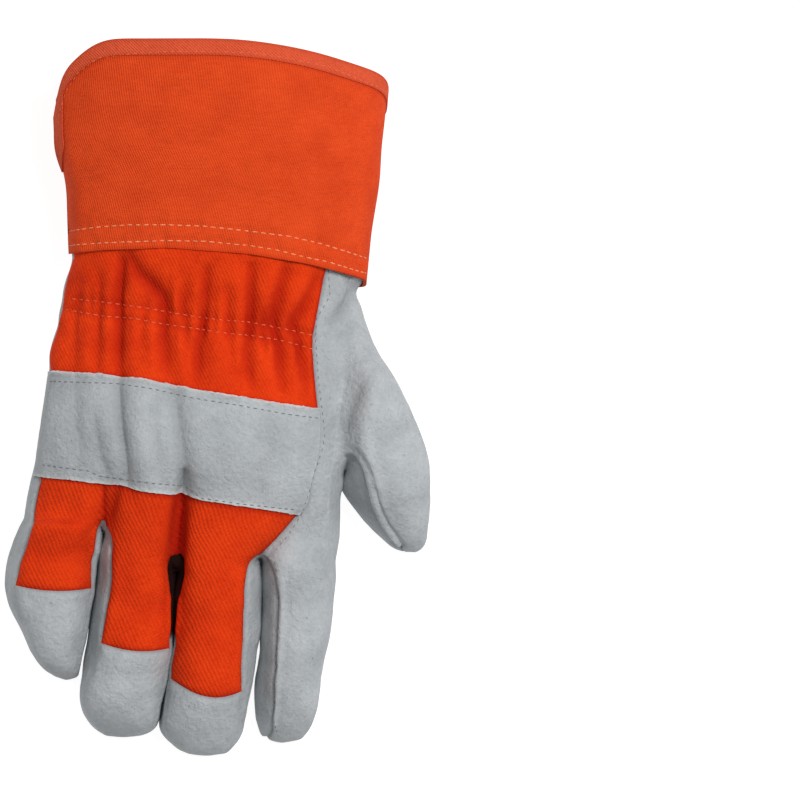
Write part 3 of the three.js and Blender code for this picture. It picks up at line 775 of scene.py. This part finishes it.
class Shader:
    def __init__(self, name):
        self.material = bpy.data.materials.new(name)
        self.material.use_nodes = True
        self.tree = self.material.node_tree
        self.surface = self.tree.nodes["Principled BSDF"]

    def node(self, kind, inputs=(), output=0, **settings):
        made = self.tree.nodes.new("ShaderNode" + kind)
        for key, value in settings.items():
            setattr(made, key, value)
        pairs = inputs.items() if isinstance(inputs, dict) else enumerate(inputs)
        for key, value in pairs:
            self.feed(made.inputs[key], value)
        return Wire(self, made.outputs[output])

    def feed(self, socket, value):
        if isinstance(value, Wire):
            self.tree.links.new(value.socket, socket)
        else:
            socket.default_value = value

    def place(self):
        return self.node("TexCoord", output="Object")

    def noise(self, vector, size, detail=2.0):
        inputs = {"Vector": vector, "Scale": 1 / size, "Detail": detail, "Roughness": 0.6}
        return self.node("TexNoise", inputs, output="Fac")

    def blend(self, factor, a, b):
        return self.node("Mix", {0: factor, 6: a, 7: b}, output=2, data_type="RGBA")

    def bump(self, height, distance, strength=1.0):
        inputs = {"Height": height, "Distance": distance, "Strength": strength}
        return self.node("Bump", inputs)

    def finish(self, colour, roughness, height, distance):
        self.feed(self.surface.inputs["Base Color"], colour)
        self.feed(self.surface.inputs["Roughness"], roughness)
        self.feed(self.surface.inputs["Normal"], self.bump(height, distance))
        self.surface.inputs["Specular IOR Level"].default_value = 0.12
        return self.material


def attribute(shader, name):
    return shader.node("Attribute", output="Fac", attribute_name=name)


# Near black for the painted shadow in the slot between the ring and middle fingers.
slot_shadow_dark = (0.012, 0.003, 0.002, 1)


def suede(name, light, dark, speck_and_shade, pale_edge):
    shader = Shader(name)
    at = shader.place()
    patches = shader.noise(at, 0.016, 3.0).clamped(0.36, 0.66)
    nap = shader.noise(at, 0.0016, 4.0).clamped(0.32, 0.68)
    flecks = shader.noise(at, 0.0011, 2.0).clamped(0.66, 0.74)
    seam = attribute(shader, "seam")
    edge = attribute(shader, "cut_edge")
    colour = shader.blend(patches * 0.5 + nap * 0.4, dark, light)
    colour = shader.blend(flecks * 0.55, colour, speck_and_shade)
    # Painted shade: the seam line and the hollow shade darken towards the speck colour, and deep
    # hollow shade turns near black.
    colour = shader.blend(seam * 0.6, colour, speck_and_shade)
    hollow_shade = attribute(shader, "hollow_shade")
    colour = shader.blend(hollow_shade * 0.55, colour, speck_and_shade)
    colour = shader.blend(hollow_shade.clamped(1.0, 1.6), colour, slot_shadow_dark)
    colour = shader.blend(edge * (nap * 0.6 + 0.35), colour, pale_edge)
    height = shader.noise(at, 0.0009, 4.0) + nap * 0.7 + shader.noise(at, 0.005, 3.0) * 1.4
    return shader.finish(colour, 0.9 + nap * 0.08, height, 0.0003)


grey_light = (0.495, 0.520, 0.535, 1)
grey_dark = (0.345, 0.366, 0.378, 1)
# Dark flecks of the leather, and also the colour of its painted shade.
grey_speck_and_shade = (0.16, 0.17, 0.175, 1)
grey_pale = (0.60, 0.62, 0.62, 1)
leather_look = suede("leather_grey", grey_light, grey_dark, grey_speck_and_shade, grey_pale)
edge_look = suede("leather_cut_edge", grey_pale, grey_light, grey_dark, grey_pale)
strap_end_line = [(143, -17), (141, -60), (132, -109), (118, -162)]
pieces = []


def thicken(made, thickness, inside, rim):
    solid = made.modifiers.new("thickness", "SOLIDIFY")
    solid.thickness = thickness
    solid.offset = -1
    solid.use_rim = True
    solid.material_offset = inside
    solid.material_offset_rim = rim
    result = made.evaluated_get(bpy.context.evaluated_depsgraph_get())
    made.data = bpy.data.meshes.new_from_object(result)
    made.modifiers.clear()


def make_piece(name, surface, thickness, looks, lift=0.0, rough_edge=0):
    chosen = surface.owner == surface.names.index(name)
    quads = surface.quads[chosen]
    used, numbered = np.unique(quads.ravel(), return_inverse=True)
    quads = numbered.reshape(-1, 4)
    places = surface.points[used] + surface.normals[used] * lift
    mesh = bpy.data.meshes.new(name)
    mesh.from_pydata(places, [], quads.tolist())
    layer = mesh.uv_layers.new(name="cloth")
    layer.data.foreach_set("uv", surface.uv[chosen].ravel())
    edge_count = {}
    for quad in quads.tolist():
        for a, b in zip(quad, quad[1:] + quad[:1]):
            edge_count[(min(a, b), max(a, b))] = edge_count.get((min(a, b), max(a, b)), 0) + 1
    border = sorted({v for edge, n in edge_count.items() if n == 1 for v in edge})
    from_border = distance_to(places, places[border], 0.03)
    # Painted shade: a darker line along each sewn border, left off raw edges and where the leather
    # runs on unsewn.
    seam_shade_line = np.zeros(len(places)) if rough_edge else bell(from_border, 0.0009)
    seam_shade_line *= surface.sewn[used]
    mesh.attributes.new("seam", "FLOAT", "POINT").data.foreach_set("value", seam_shade_line)
    layer = mesh.attributes.new("hollow_shade", "FLOAT", "POINT")
    layer.data.foreach_set("value", surface.hollow_shade[used])
    from_end = line_distance(places, strap_end_line)[0]
    cut = bell(from_border, 0.0007) * (1 - bell(from_end, 0.002)) * (rough_edge > 0)
    mesh.attributes.new("cut_edge", "FLOAT", "POINT").data.foreach_set("value", cut)
    if rough_edge:
        shake = lumps(places, 0.0009, 11) * rough_edge * bell(from_border, 0.0009)
        middle = places.mean(axis=0)
        outwards = places - middle
        outwards[:, 0] = 0
        outwards /= np.maximum(np.linalg.norm(outwards, axis=1), 1e-9)[:, None]
        mesh.vertices.foreach_set("co", (places + outwards * shake[:, None]).ravel())
    for look in looks:
        mesh.materials.append(look)
    made = bpy.data.objects.new(name + "_look", mesh)
    bpy.context.collection.objects.link(made)
    thicken(made, thickness, 1 if len(looks) > 1 else 0, 2 if len(looks) > 2 else 0)
    solid_mesh = made.data
    solid_mesh.polygons.foreach_set("use_smooth", [True] * len(solid_mesh.polygons))
    solid_mesh.set_sharp_from_angle(angle=math.radians(50))
    for polygon in solid_mesh.polygons:
        if rough_edge and polygon.normal.x > 0.7:
            polygon.material_index = 0
    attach(made, "root")
    if name == "index_and_thumb":
        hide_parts("index_finger", "thumb_back")
    else:
        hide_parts(name)
    pieces.append(made)


for name in leather_names:
    if name != "knuckle_strap":
        make_piece(name, hand_surface, leather_thickness, [leather_look])
strap_looks = [leather_look, leather_look, edge_look]
make_piece(
    "knuckle_strap", hand_surface, strap_thickness, strap_looks,
    lift=strap_lift, rough_edge=strap_fray,
)

# The cloth backs: orange cotton drill over the back of the hand and of three fingers.
# Drill is a twill, so slanting ribs run over it, finer where the elastic gathers the cloth.
# Each piece is sewn to the leather round it.
drill_thickness = 0.0010
drill_slope = 1.12
orange_light = (0.78, 0.050, 0.004, 1)
orange_dark = (0.50, 0.018, 0.001, 1)
# Darker, redder orange for the painted shade in seams and gathers.
orange_shade = (0.36, 0.006, 0.0006, 1)


def woven(name, light, dark, shade_tone, pitch, slope, contrast, streak, mottle, depth):
    shader = Shader(name)
    flat = shader.node("UVMap", uv_map="cloth")
    x, y = [
        shader.node("SeparateXYZ", {"Vector": flat}, output=axis) for axis in ("X", "Y")
    ]
    at = shader.place()
    wander = shader.noise(at, 0.005, 2.0)
    across_rib = (x * math.sin(slope) + y * math.cos(slope)) * (2 * math.pi / pitch)
    along_rib = (x * math.cos(slope) - y * math.sin(slope)) * (2 * math.pi / (pitch * 0.7))
    rib = ((across_rib + wander * 2.2).sine() * 0.5 + 0.5).power(0.8)
    beads = (along_rib + wander * 2.0).sine() * 0.5 + 0.5
    thread = shader.noise(at, 0.0007, 3.0).clamped(0.3, 0.7)
    patches = shader.noise(at, 0.012, 4.0).clamped(0.36, 0.66)
    stretched = shader.node("Mapping", {"Vector": at, "Scale": streak})
    streaks = shader.noise(stretched, 0.0014, 3.0).clamped(0.3, 0.7)
    seam = attribute(shader, "seam")
    threads = rib * contrast + beads * 0.12 + streaks * 0.3 + thread * 0.2 - contrast * 0.5
    colour = shader.blend(threads + (0.45 - patches * mottle), dark, light)
    # Painted shade: the seam line and the hollow shade darken towards the shade tone.
    colour = shader.blend(seam * 0.85, colour, shade_tone)
    colour = shader.blend(attribute(shader, "hollow_shade") * 0.75, colour, shade_tone)
    height = rib * 1.0 + beads * 0.4 + thread * 0.5 + streaks * 0.3
    return shader.finish(colour, 0.86 + thread * 0.1, height, depth)


drill_look = woven(
    "drill_orange", orange_light, orange_dark, orange_shade,
    pitch=0.0014, slope=drill_slope, contrast=0.15, streak=(1, 1, 1), mottle=0.35, depth=0.00018,
)
gathered_look = woven(
    "drill_gathered", orange_light, orange_dark, orange_shade,
    pitch=0.0012, slope=drill_slope, contrast=0.1, streak=(1, 1, 1), mottle=0.4, depth=0.00012,
)
make_piece("back_cloth", hand_surface, drill_thickness, [gathered_look])
for name in back_names:
    make_piece(name, hand_surface, drill_thickness, [drill_look])

# The cuff and its binding: stiff orange canvas with a brown-olive reverse, open at a side slit.
# Two stitch rows hold it over the wrist, and tape is folded over its mouth, corners and slit.
# Its cage runs from the bound mouth to the edge over the wrist.
canvas_thickness = 0.0013
tape_thickness = 0.0024
tape_lift = 0.0005
band_groove = 0.55 * mm
band_pucker = 0.5 * mm
points.clear()
faces.clear()
cuff_rows = table(
    "share base slit_top slit_under",
    [
        [-1, 0.3, 0.5, 0.28],
        [0, 0.3, 0.5, 0.28],
        [0.16, 0.6, 0.47, 0.31],
        [0.32, 1, 0.42, 0.365],
        [0.5, 1, 0.42, 0.365],
        [0.68, 1, 0.42, 0.365],
        [0.84, 1, 0.42, 0.365],
        [1, 1, 0.42, 0.365],
    ],
)
cuff_columns = 16
slit_end = 3
cuff_mouth_height = 0.054
canvas = 0.0014
wrist_gap = 0.0009
cuff_wrist_height = hand_height + canvas + wrist_gap
patch_leather = 0.0015
patch_gap = 0.0004
cuff_base = patch_leather + patch_gap
mouth_corner = 0.029
tape_width = 0.006
wrist_lap = 18
lap_middle = 0.49
lap_reach = 0.25
under_left = 201
under_right = 154
corner_share = 0.2
mouth = {"top": 499, "top_start": 0.45, "under": 501, "under_start": 0.3, "drop": 175}
wrist_edge = [[0, 200], [0.12, 205], [0.33, 208], [0.59, 200], [0.8, 186], [1, 165]]
cuff_left = [[201, -207], [280, -208], [312, -213], [336, -222], [382, -225], [429, -225]]
cuff_right = [[157, 209], [248, 220], [287, 227], [422, 237], [471, 240]]


def between(rows, at):
    return float(np.interp(at, [r[0] for r in rows], [r[1] for r in rows]))


def cuff_y(row, u, under):
    level = mouth["under"] if under else mouth["top"]
    start = mouth["under_start"] if under else mouth["top_start"]
    rounding = 1 - math.sqrt(1 - max(0.0, 1 - u / corner_share) ** 2)
    edge = (level - mouth["drop"] * max(0.0, u - start) ** 2) * mille - mouth_corner * rounding
    if row["share"] < 0:
        return edge
    lap = wrist_lap * max(0.0, 1 - ((u - lap_middle) / lap_reach) ** 2)
    bent = min(max((u - 0.1) / 0.8, 0.0), 1.0) ** 5
    wrist = mix(under_left, under_right, bent) - lap if under else between(wrist_edge, u)
    return mix(edge - tape_width, wrist * mille, row["share"])


def cuff_loop(row):
    height = mix(cuff_mouth_height, cuff_wrist_height, max(row["share"], 0))

    def at(u, y, share):
        x = mix(between(cuff_left, y / mille), between(cuff_right, y / mille), u) * mille
        return add_point(x, y, mix(row["base"] * cuff_base, height, share))

    loop = []
    for k in range(cuff_columns + 1):
        u = 0.975 * (k / cuff_columns) ** 1.3
        loop.append(at(u, cuff_y(row, u, False), row["slit_top"] if k == 0 else top_share(u)))
    top_y = cuff_y(row, 1, False)
    under_y = cuff_y(row, 1, True)
    loop.append(at(1, mix(top_y, under_y, 0.4), side_shares[0]))
    loop.append(at(0.995, mix(top_y, under_y, 0.9), side_shares[1]))
    for k in range(cuff_columns, -1, -1):
        u = 0.005 + 0.955 * (k / cuff_columns) ** 1.3
        rise = 0.3 * max(0.0, 1 - min(u, 1 - u) / 0.12) ** 2
        loop.append(at(u, cuff_y(row, u, True), row["slit_under"] if k == 0 else rise))
    return loop


cuff_loops = [cuff_loop(row) for row in cuff_rows]
cuff_seam = 2 * cuff_columns + 3


def cuff_piece(r, i):
    if i == cuff_seam:
        return None if r < slit_end else "cuff"
    if r == 0 or (i in (0, cuff_seam - 1) and r < slit_end):
        return "cuff_binding"
    return "cuff"


for r in range(len(cuff_loops) - 1):
    join(cuff_loops[r], cuff_loops[r + 1], lambda i: cuff_piece(r, i))
cuff_cage = (np.array(points), list(faces))


def cuff_uv(name, index):
    loop_length = 2 * cuff_columns + 4
    r, i = divmod(index, loop_length)
    u = 0.0
    for j in range(i):
        a, b = cuff_cage[0][cuff_loops[r][j]], cuff_cage[0][cuff_loops[r][j + 1]]
        u += float(np.hypot(a[0] - b[0], a[2] - b[2]))
    return (u, cuff_cage[0][index][1])


cuff_mesh, cuff_names = dense_surface("cuff_surface", cuff_cage, cuff_uv, 3)
cuff_surface = Surface(cuff_mesh, cuff_names)
band_rows = [
    [(-204, 232), (-167, 237), (-122, 240), (-68, 240), (-15, 238), (48, 231),
     (102, 224), (146, 214), (182, 203), (210, 194)],
    [(-204, 212), (-158, 215), (-68, 218), (-15, 217), (48, 211),
     (84, 205), (129, 194), (155, 189), (191, 178), (210, 173)],
]
p = cuff_surface.rest
over = cuff_surface.normals[:, 2] > 0.1
dents = 0.8 * mm * lumps(p, 0.035, 6) + 0.25 * mm * lumps(p, 0.012, 7)
for row in band_rows:
    away = line_distance(p, row)[0]
    dents -= np.where(over, band_groove * bell(away, 0.0011), 0)
    puckers = lumps(p[:, :2] * [1, 0.3], 0.0026, 8) * bell(away, 0.0036)
    dents += np.where(over, band_pucker * puckers, 0)
low = p[:, 2] < 0.004
cuff_surface.push(np.where(low, np.maximum(dents, -0.2 * mm) * 0.2, dents))
cuff_surface.points[:, 2] = np.maximum(cuff_surface.points[:, 2], 0.0006)
cuff_surface.update_normals()

canvas_light = (0.78, 0.074, 0.013, 1)
canvas_dark = (0.54, 0.038, 0.006, 1)
tape_light = (0.75, 0.106, 0.042, 1)
tape_dark = (0.55, 0.060, 0.021, 1)
olive_light = (0.16, 0.12, 0.045, 1)
olive_dark = (0.09, 0.065, 0.025, 1)
canvas_weave = {"pitch": 0.0009, "slope": 1.35, "contrast": 0.2, "streak": (0.2, 1.4, 1)}
# Each dark tone is also the shade tone of the painted seam line along the piece borders.
canvas_look = woven(
    "canvas_orange", canvas_light, canvas_dark, canvas_dark,
    mottle=0.34, depth=0.00016, **canvas_weave,
)
tape_look = woven(
    "tape_orange", tape_light, tape_dark, tape_dark,
    pitch=0.0009, slope=0.8, contrast=0.2, streak=(1, 1, 1), mottle=0.3, depth=0.00018,
)
olive_look = woven(
    "canvas_reverse", olive_light, olive_dark, olive_dark,
    mottle=0.3, depth=0.00016, **canvas_weave,
)
cuff_looks = [canvas_look, olive_look, tape_look]
make_piece("cuff", cuff_surface, canvas_thickness, cuff_looks)
make_piece(
    "cuff_binding", cuff_surface, tape_thickness, [tape_look], lift=tape_lift
)

# The vein patch: a flat piece of split leather over the pulse, sewn under the cuff.
# It is built in rings from its outline inwards, and its lower edge follows the palm's edge.
patch_top = 0.0014
patch_thickness = 0.0013


def line_points(line, step=0.0008):
    places = np.array(line, dtype=float) * mille
    lengths = np.concatenate([[0], np.cumsum(np.linalg.norm(np.diff(places, axis=0), axis=1))])
    at = np.arange(0, lengths[-1], step)
    return np.stack([np.interp(at, lengths, places[:, k]) for k in (0, 1)], axis=1)


patch_outline = [
    (-199, 202), (-192, 231), (-190, 264), (-191, 303), (-183, 340), (-152, 362), (-101, 368),
    (-54, 358), (19, 341), (92, 319), (117, 303), (125, 278), (121, 252), (111, 225),
    (103, 203), (99, 186), (82, 188), (5, 197), (-93, 198.5), (-163, 198.5),
]
outline = line_points(patch_outline + patch_outline[:1], 0.0015)
for _ in range(12):
    outline = (np.roll(outline, 1, axis=0) + 2 * outline + np.roll(outline, -1, axis=0)) / 4
middle = outline.mean(axis=0)
rings = [mix(outline, middle, t) for t in np.linspace(0, 0.96, 24) ** 1.2]
patch_points = []
patch_quads = []
for r, ring in enumerate(rings):
    for x, y in ring:
        patch_points.append((x, y, patch_top))
    if r:
        n = len(ring)
        for i in range(n):
            j = (i + 1) % n
            patch_quads.append(((r - 1) * n + i, (r - 1) * n + j, r * n + j, r * n + i))
patch_mesh = bpy.data.meshes.new("vein_patch")
patch_middle = list(range((len(rings) - 1) * n, len(rings) * n))
patch_mesh.from_pydata(patch_points, [], patch_quads + [patch_middle])
patch = bpy.data.objects.new("vein_patch_look", patch_mesh)
bpy.context.collection.objects.link(patch)
thicken(patch, patch_thickness, 0, 0)
patch.data.materials.append(leather_look)
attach(patch, "root")
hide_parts("vein_patch")
pieces.append(patch)

# The threads: lockstitch rows on the cuff's band, elastic, binding, strap, seams and patch.
# Each row is laid on the skin of the finished pieces, and each stitch is one stretched bead.
row_tree = bpy.data.node_groups.new("stitch_row", "GeometryNodeTree")
for socket, kind in (
    ("Row", "NodeSocketGeometry"),
    ("Pitch", "NodeSocketFloat"),
    ("Length", "NodeSocketFloat"),
    ("Thickness", "NodeSocketFloat"),
    ("Thread", "NodeSocketMaterial"),
):
    row_tree.interface.new_socket(socket, in_out="INPUT", socket_type=kind)
row_tree.interface.new_socket("Stitches", in_out="OUTPUT", socket_type="NodeSocketGeometry")


def row_node(kind, inputs=(), **settings):
    made = row_tree.nodes.new(kind)
    for key, value in settings.items():
        setattr(made, key, value)
    for key, value in dict(inputs).items():
        if isinstance(value, bpy.types.NodeSocket):
            row_tree.links.new(value, made.inputs[key])
        else:
            made.inputs[key].default_value = value
    return made


row_in = row_node("NodeGroupInput").outputs
curve = row_node("GeometryNodeMeshToCurve", {"Mesh": row_in["Row"]})
spaced = row_node(
    "GeometryNodeResampleCurve",
    {"Curve": curve.outputs[0], "Length": row_in["Pitch"]},
    mode="LENGTH",
)
up = row_node("GeometryNodeInputNamedAttribute", {"Name": "up"}, data_type="FLOAT_VECTOR")
along = row_node("GeometryNodeInputTangent")
turn = row_node(
    "FunctionNodeAxesToRotation",
    {"Primary Axis": up.outputs[0], "Secondary Axis": along.outputs[0]},
    primary_axis="Z",
    secondary_axis="X",
)
uneven = row_node("FunctionNodeRandomValue", {2: 0.85, 3: 1.12, "Seed": 5}, data_type="FLOAT")
longer = row_node(
    "ShaderNodeMath", {0: row_in["Length"], 1: uneven.outputs[1]}, operation="MULTIPLY"
)
size = row_node(
    "ShaderNodeCombineXYZ",
    {"X": longer.outputs[0], "Y": row_in["Thickness"], "Z": row_in["Thickness"]},
)
stitch = row_node("GeometryNodeMeshUVSphere", {"Segments": 8, "Rings": 5, "Radius": 0.5})
rounded = row_node("GeometryNodeSetShadeSmooth", {"Geometry": stitch.outputs[0]})
laid = row_node(
    "GeometryNodeInstanceOnPoints",
    {
        "Points": spaced.outputs[0],
        "Instance": rounded.outputs[0],
        "Rotation": turn.outputs[0],
        "Scale": size.outputs[0],
    },
)
real = row_node("GeometryNodeRealizeInstances", {0: laid.outputs[0]})
dyed = row_node(
    "GeometryNodeSetMaterial", {"Geometry": real.outputs[0], "Material": row_in["Thread"]}
)
row_node("NodeGroupOutput", {0: dyed.outputs[0]})


def thread_look(name, colour, darker):
    shader = Shader(name)
    at = shader.place()
    twist = shader.noise(at, 0.0005, 2.0).clamped(0.3, 0.7)
    shade = shader.blend(twist, darker, colour)
    return shader.finish(shade, 0.6 + twist * 0.2, twist, 0.00008)


peach = thread_look("thread_peach", (0.83, 0.36, 0.19, 1), (0.70, 0.22, 0.10, 1))
faded = thread_look("thread_orange", (0.82, 0.20, 0.095, 1), (0.64, 0.10, 0.04, 1))
charcoal = thread_look("thread_charcoal", (0.20, 0.21, 0.215, 1), (0.13, 0.14, 0.14, 1))
pale = thread_look("thread_grey", (0.74, 0.74, 0.72, 1), (0.56, 0.57, 0.56, 1))

skin_points = []
skin_faces = []
for made in pieces:
    start = len(skin_points)
    skin_points += [v.co.copy() for v in made.data.vertices]
    skin_faces += [[start + k for k in polygon.vertices] for polygon in made.data.polygons]
skin = BVHTree.FromPolygons(skin_points, skin_faces)


def thread(name, rows, look, slot, pitch, length, thickness, sink, below):
    places = []
    ups = []
    edges = []
    for row in rows:
        last = None
        for x, y in line_points(row, 0.001):
            start = Vector((x, y, -0.05 if below else 0.2))
            hit, normal, _, _ = skin.ray_cast(start, Vector((0, 0, 1 if below else -1)))
            if hit is None:
                last = None
                continue
            places.append(hit + normal * (thickness * sink))
            ups.append(normal)
            if last is not None:
                edges.append((last, len(places) - 1))
            last = len(places) - 1
    mesh = bpy.data.meshes.new(name)
    mesh.from_pydata(places, edges, [])
    layer = mesh.attributes.new("up", "FLOAT_VECTOR", "POINT")
    layer.data.foreach_set("vector", np.array(ups).ravel())
    made = bpy.data.objects.new(name, mesh)
    bpy.context.collection.objects.link(made)
    rows_modifier = made.modifiers.new("stitches", "NODES")
    rows_modifier.node_group = row_tree
    values = {"Pitch": pitch, "Length": length, "Thickness": thickness, "Thread": look}
    for item in row_tree.interface.items_tree:
        if item.in_out == "INPUT" and item.name in values:
            rows_modifier[item.identifier] = values[item.name]
    result = made.evaluated_get(bpy.context.evaluated_depsgraph_get())
    sewn = bpy.data.meshes.new_from_object(result)
    made.modifiers.clear()
    made.data = sewn
    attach(made, "root")


binding_edge = [
    (238, 425), (226, 432), (159, 459), (103, 471), (47, 479), (-59, 481), (-115, 478),
    (-164, 472), (-192, 452), (-209, 427), (-220, 393), (-223, 361),
]
strap_rows = [
    [(-231, 22), (-140, 19), (-95, 13), (-33, -1), (30, -11), (101, -24), (141, -29)],
    [(-241, -95), (-178, -103), (-163, -110), (-93, -120), (-44, -124), (-20, -141), (34, -149),
     (108, -157)],
]
radial_row = [
    (157, 175), (159, 141), (149, 124), (140, 108), (139, 83), (143, 24), (148, -17),
    (152, -55), (147, -78), (137, -106), (129, -136), (120, -162), (106, -185), (97, -197),
    (83, -215),
]
side_row = [(82, -232), (87, -263), (87, -324), (83, -366), (82, -417), (79, -450), (87, -477)]
seam_rows = [radial_row, side_row]
under_rows = [
    [(-185, 256), (78, 211)],
    [(-168, 271), (0, 250), (102, 228)],
]
threads = table("name rows look slot pitch length thickness sink below", [
    ["cuff_band_thread", band_rows, peach, "canvas_orange", 0.0031, 0.0023, 0.0005, 0.0, False],
    ["elastic_thread", elastic_rows, faded, "drill_orange", 0.0031, 0.0019, 0.0004, 0.0, False],
    ["binding_thread", [binding_edge], faded, "tape_orange", 0.0028, 0.0019, 0.00035, -0.1, False],
    ["strap_thread", strap_rows, charcoal, "leather_grey", 0.0026, 0.0017, 0.0004, 0.0, False],
    ["seam_thread", seam_rows, charcoal, "leather_grey", 0.0027, 0.0014, 0.00035, -0.1, False],
    ["patch_thread", under_rows, pale, "leather_grey", 0.0029, 0.0020, 0.0005, 0.1, True],
])
for row in threads:
    thread(**row)

# The camera, the lamps and the white floor that the glove lies on.
# A long lens looks straight down; the picture's middle is to the right of the glove.
scene = bpy.context.scene
view_middle = Vector((0.0683, -0.0007, 0.02))
view_width = 0.2976
camera_away = 6.0
camera = bpy.data.objects.new("camera", bpy.data.cameras.new("camera"))
sensor_width = 36
camera.data.sensor_width = sensor_width
camera.data.lens = sensor_width * camera_away / view_width
camera.data.clip_end = 20
camera.location = view_middle + Vector((0, 0, camera_away))
scene.collection.objects.link(camera)
scene.camera = camera
floor_mesh = bpy.data.meshes.new("floor")
floor_mesh.from_pydata([(-3, -3, 0), (3, -3, 0), (3, 3, 0), (-3, 3, 0)], [], [(0, 1, 2, 3)])
floor = bpy.data.objects.new("floor", floor_mesh)
scene.collection.objects.link(floor)
floor_look = Shader("floor_white")
floor_look.surface.inputs["Base Color"].default_value = (0.3, 0.3, 0.3, 1)
floor_look.surface.inputs["Roughness"].default_value = 1.0
floor_look.surface.inputs["Specular IOR Level"].default_value = 0.0
floor_look.surface.inputs["Emission Color"].default_value = (1, 1, 1, 1)
floor_look.surface.inputs["Emission Strength"].default_value = 0.88
floor_mesh.materials.append(floor_look.material)
lamps = table("name x y z size power", [
    ["key", 0.8, 0.5, 1.75, 0.6, 31],
    ["fill", -0.7, 0.5, 1.9, 1.2, 5],
])
for lamp in lamps:
    light = bpy.data.lights.new(lamp["name"], "AREA")
    light.energy = lamp["power"]
    light.size = lamp["size"]
    made = bpy.data.objects.new(lamp["name"], light)
    made.location = (lamp["x"], lamp["y"], lamp["z"])
    made.rotation_euler = (-Vector(made.location)).to_track_quat("-Z", "Y").to_euler()
    scene.collection.objects.link(made)
world = bpy.data.worlds.new("world")
world.use_nodes = True
world.node_tree.nodes["Background"].inputs["Color"].default_value = (1, 1, 1, 1)
world.node_tree.nodes["Background"].inputs["Strength"].default_value = 0.33
scene.world = world
scene.view_settings.view_transform = "Standard"
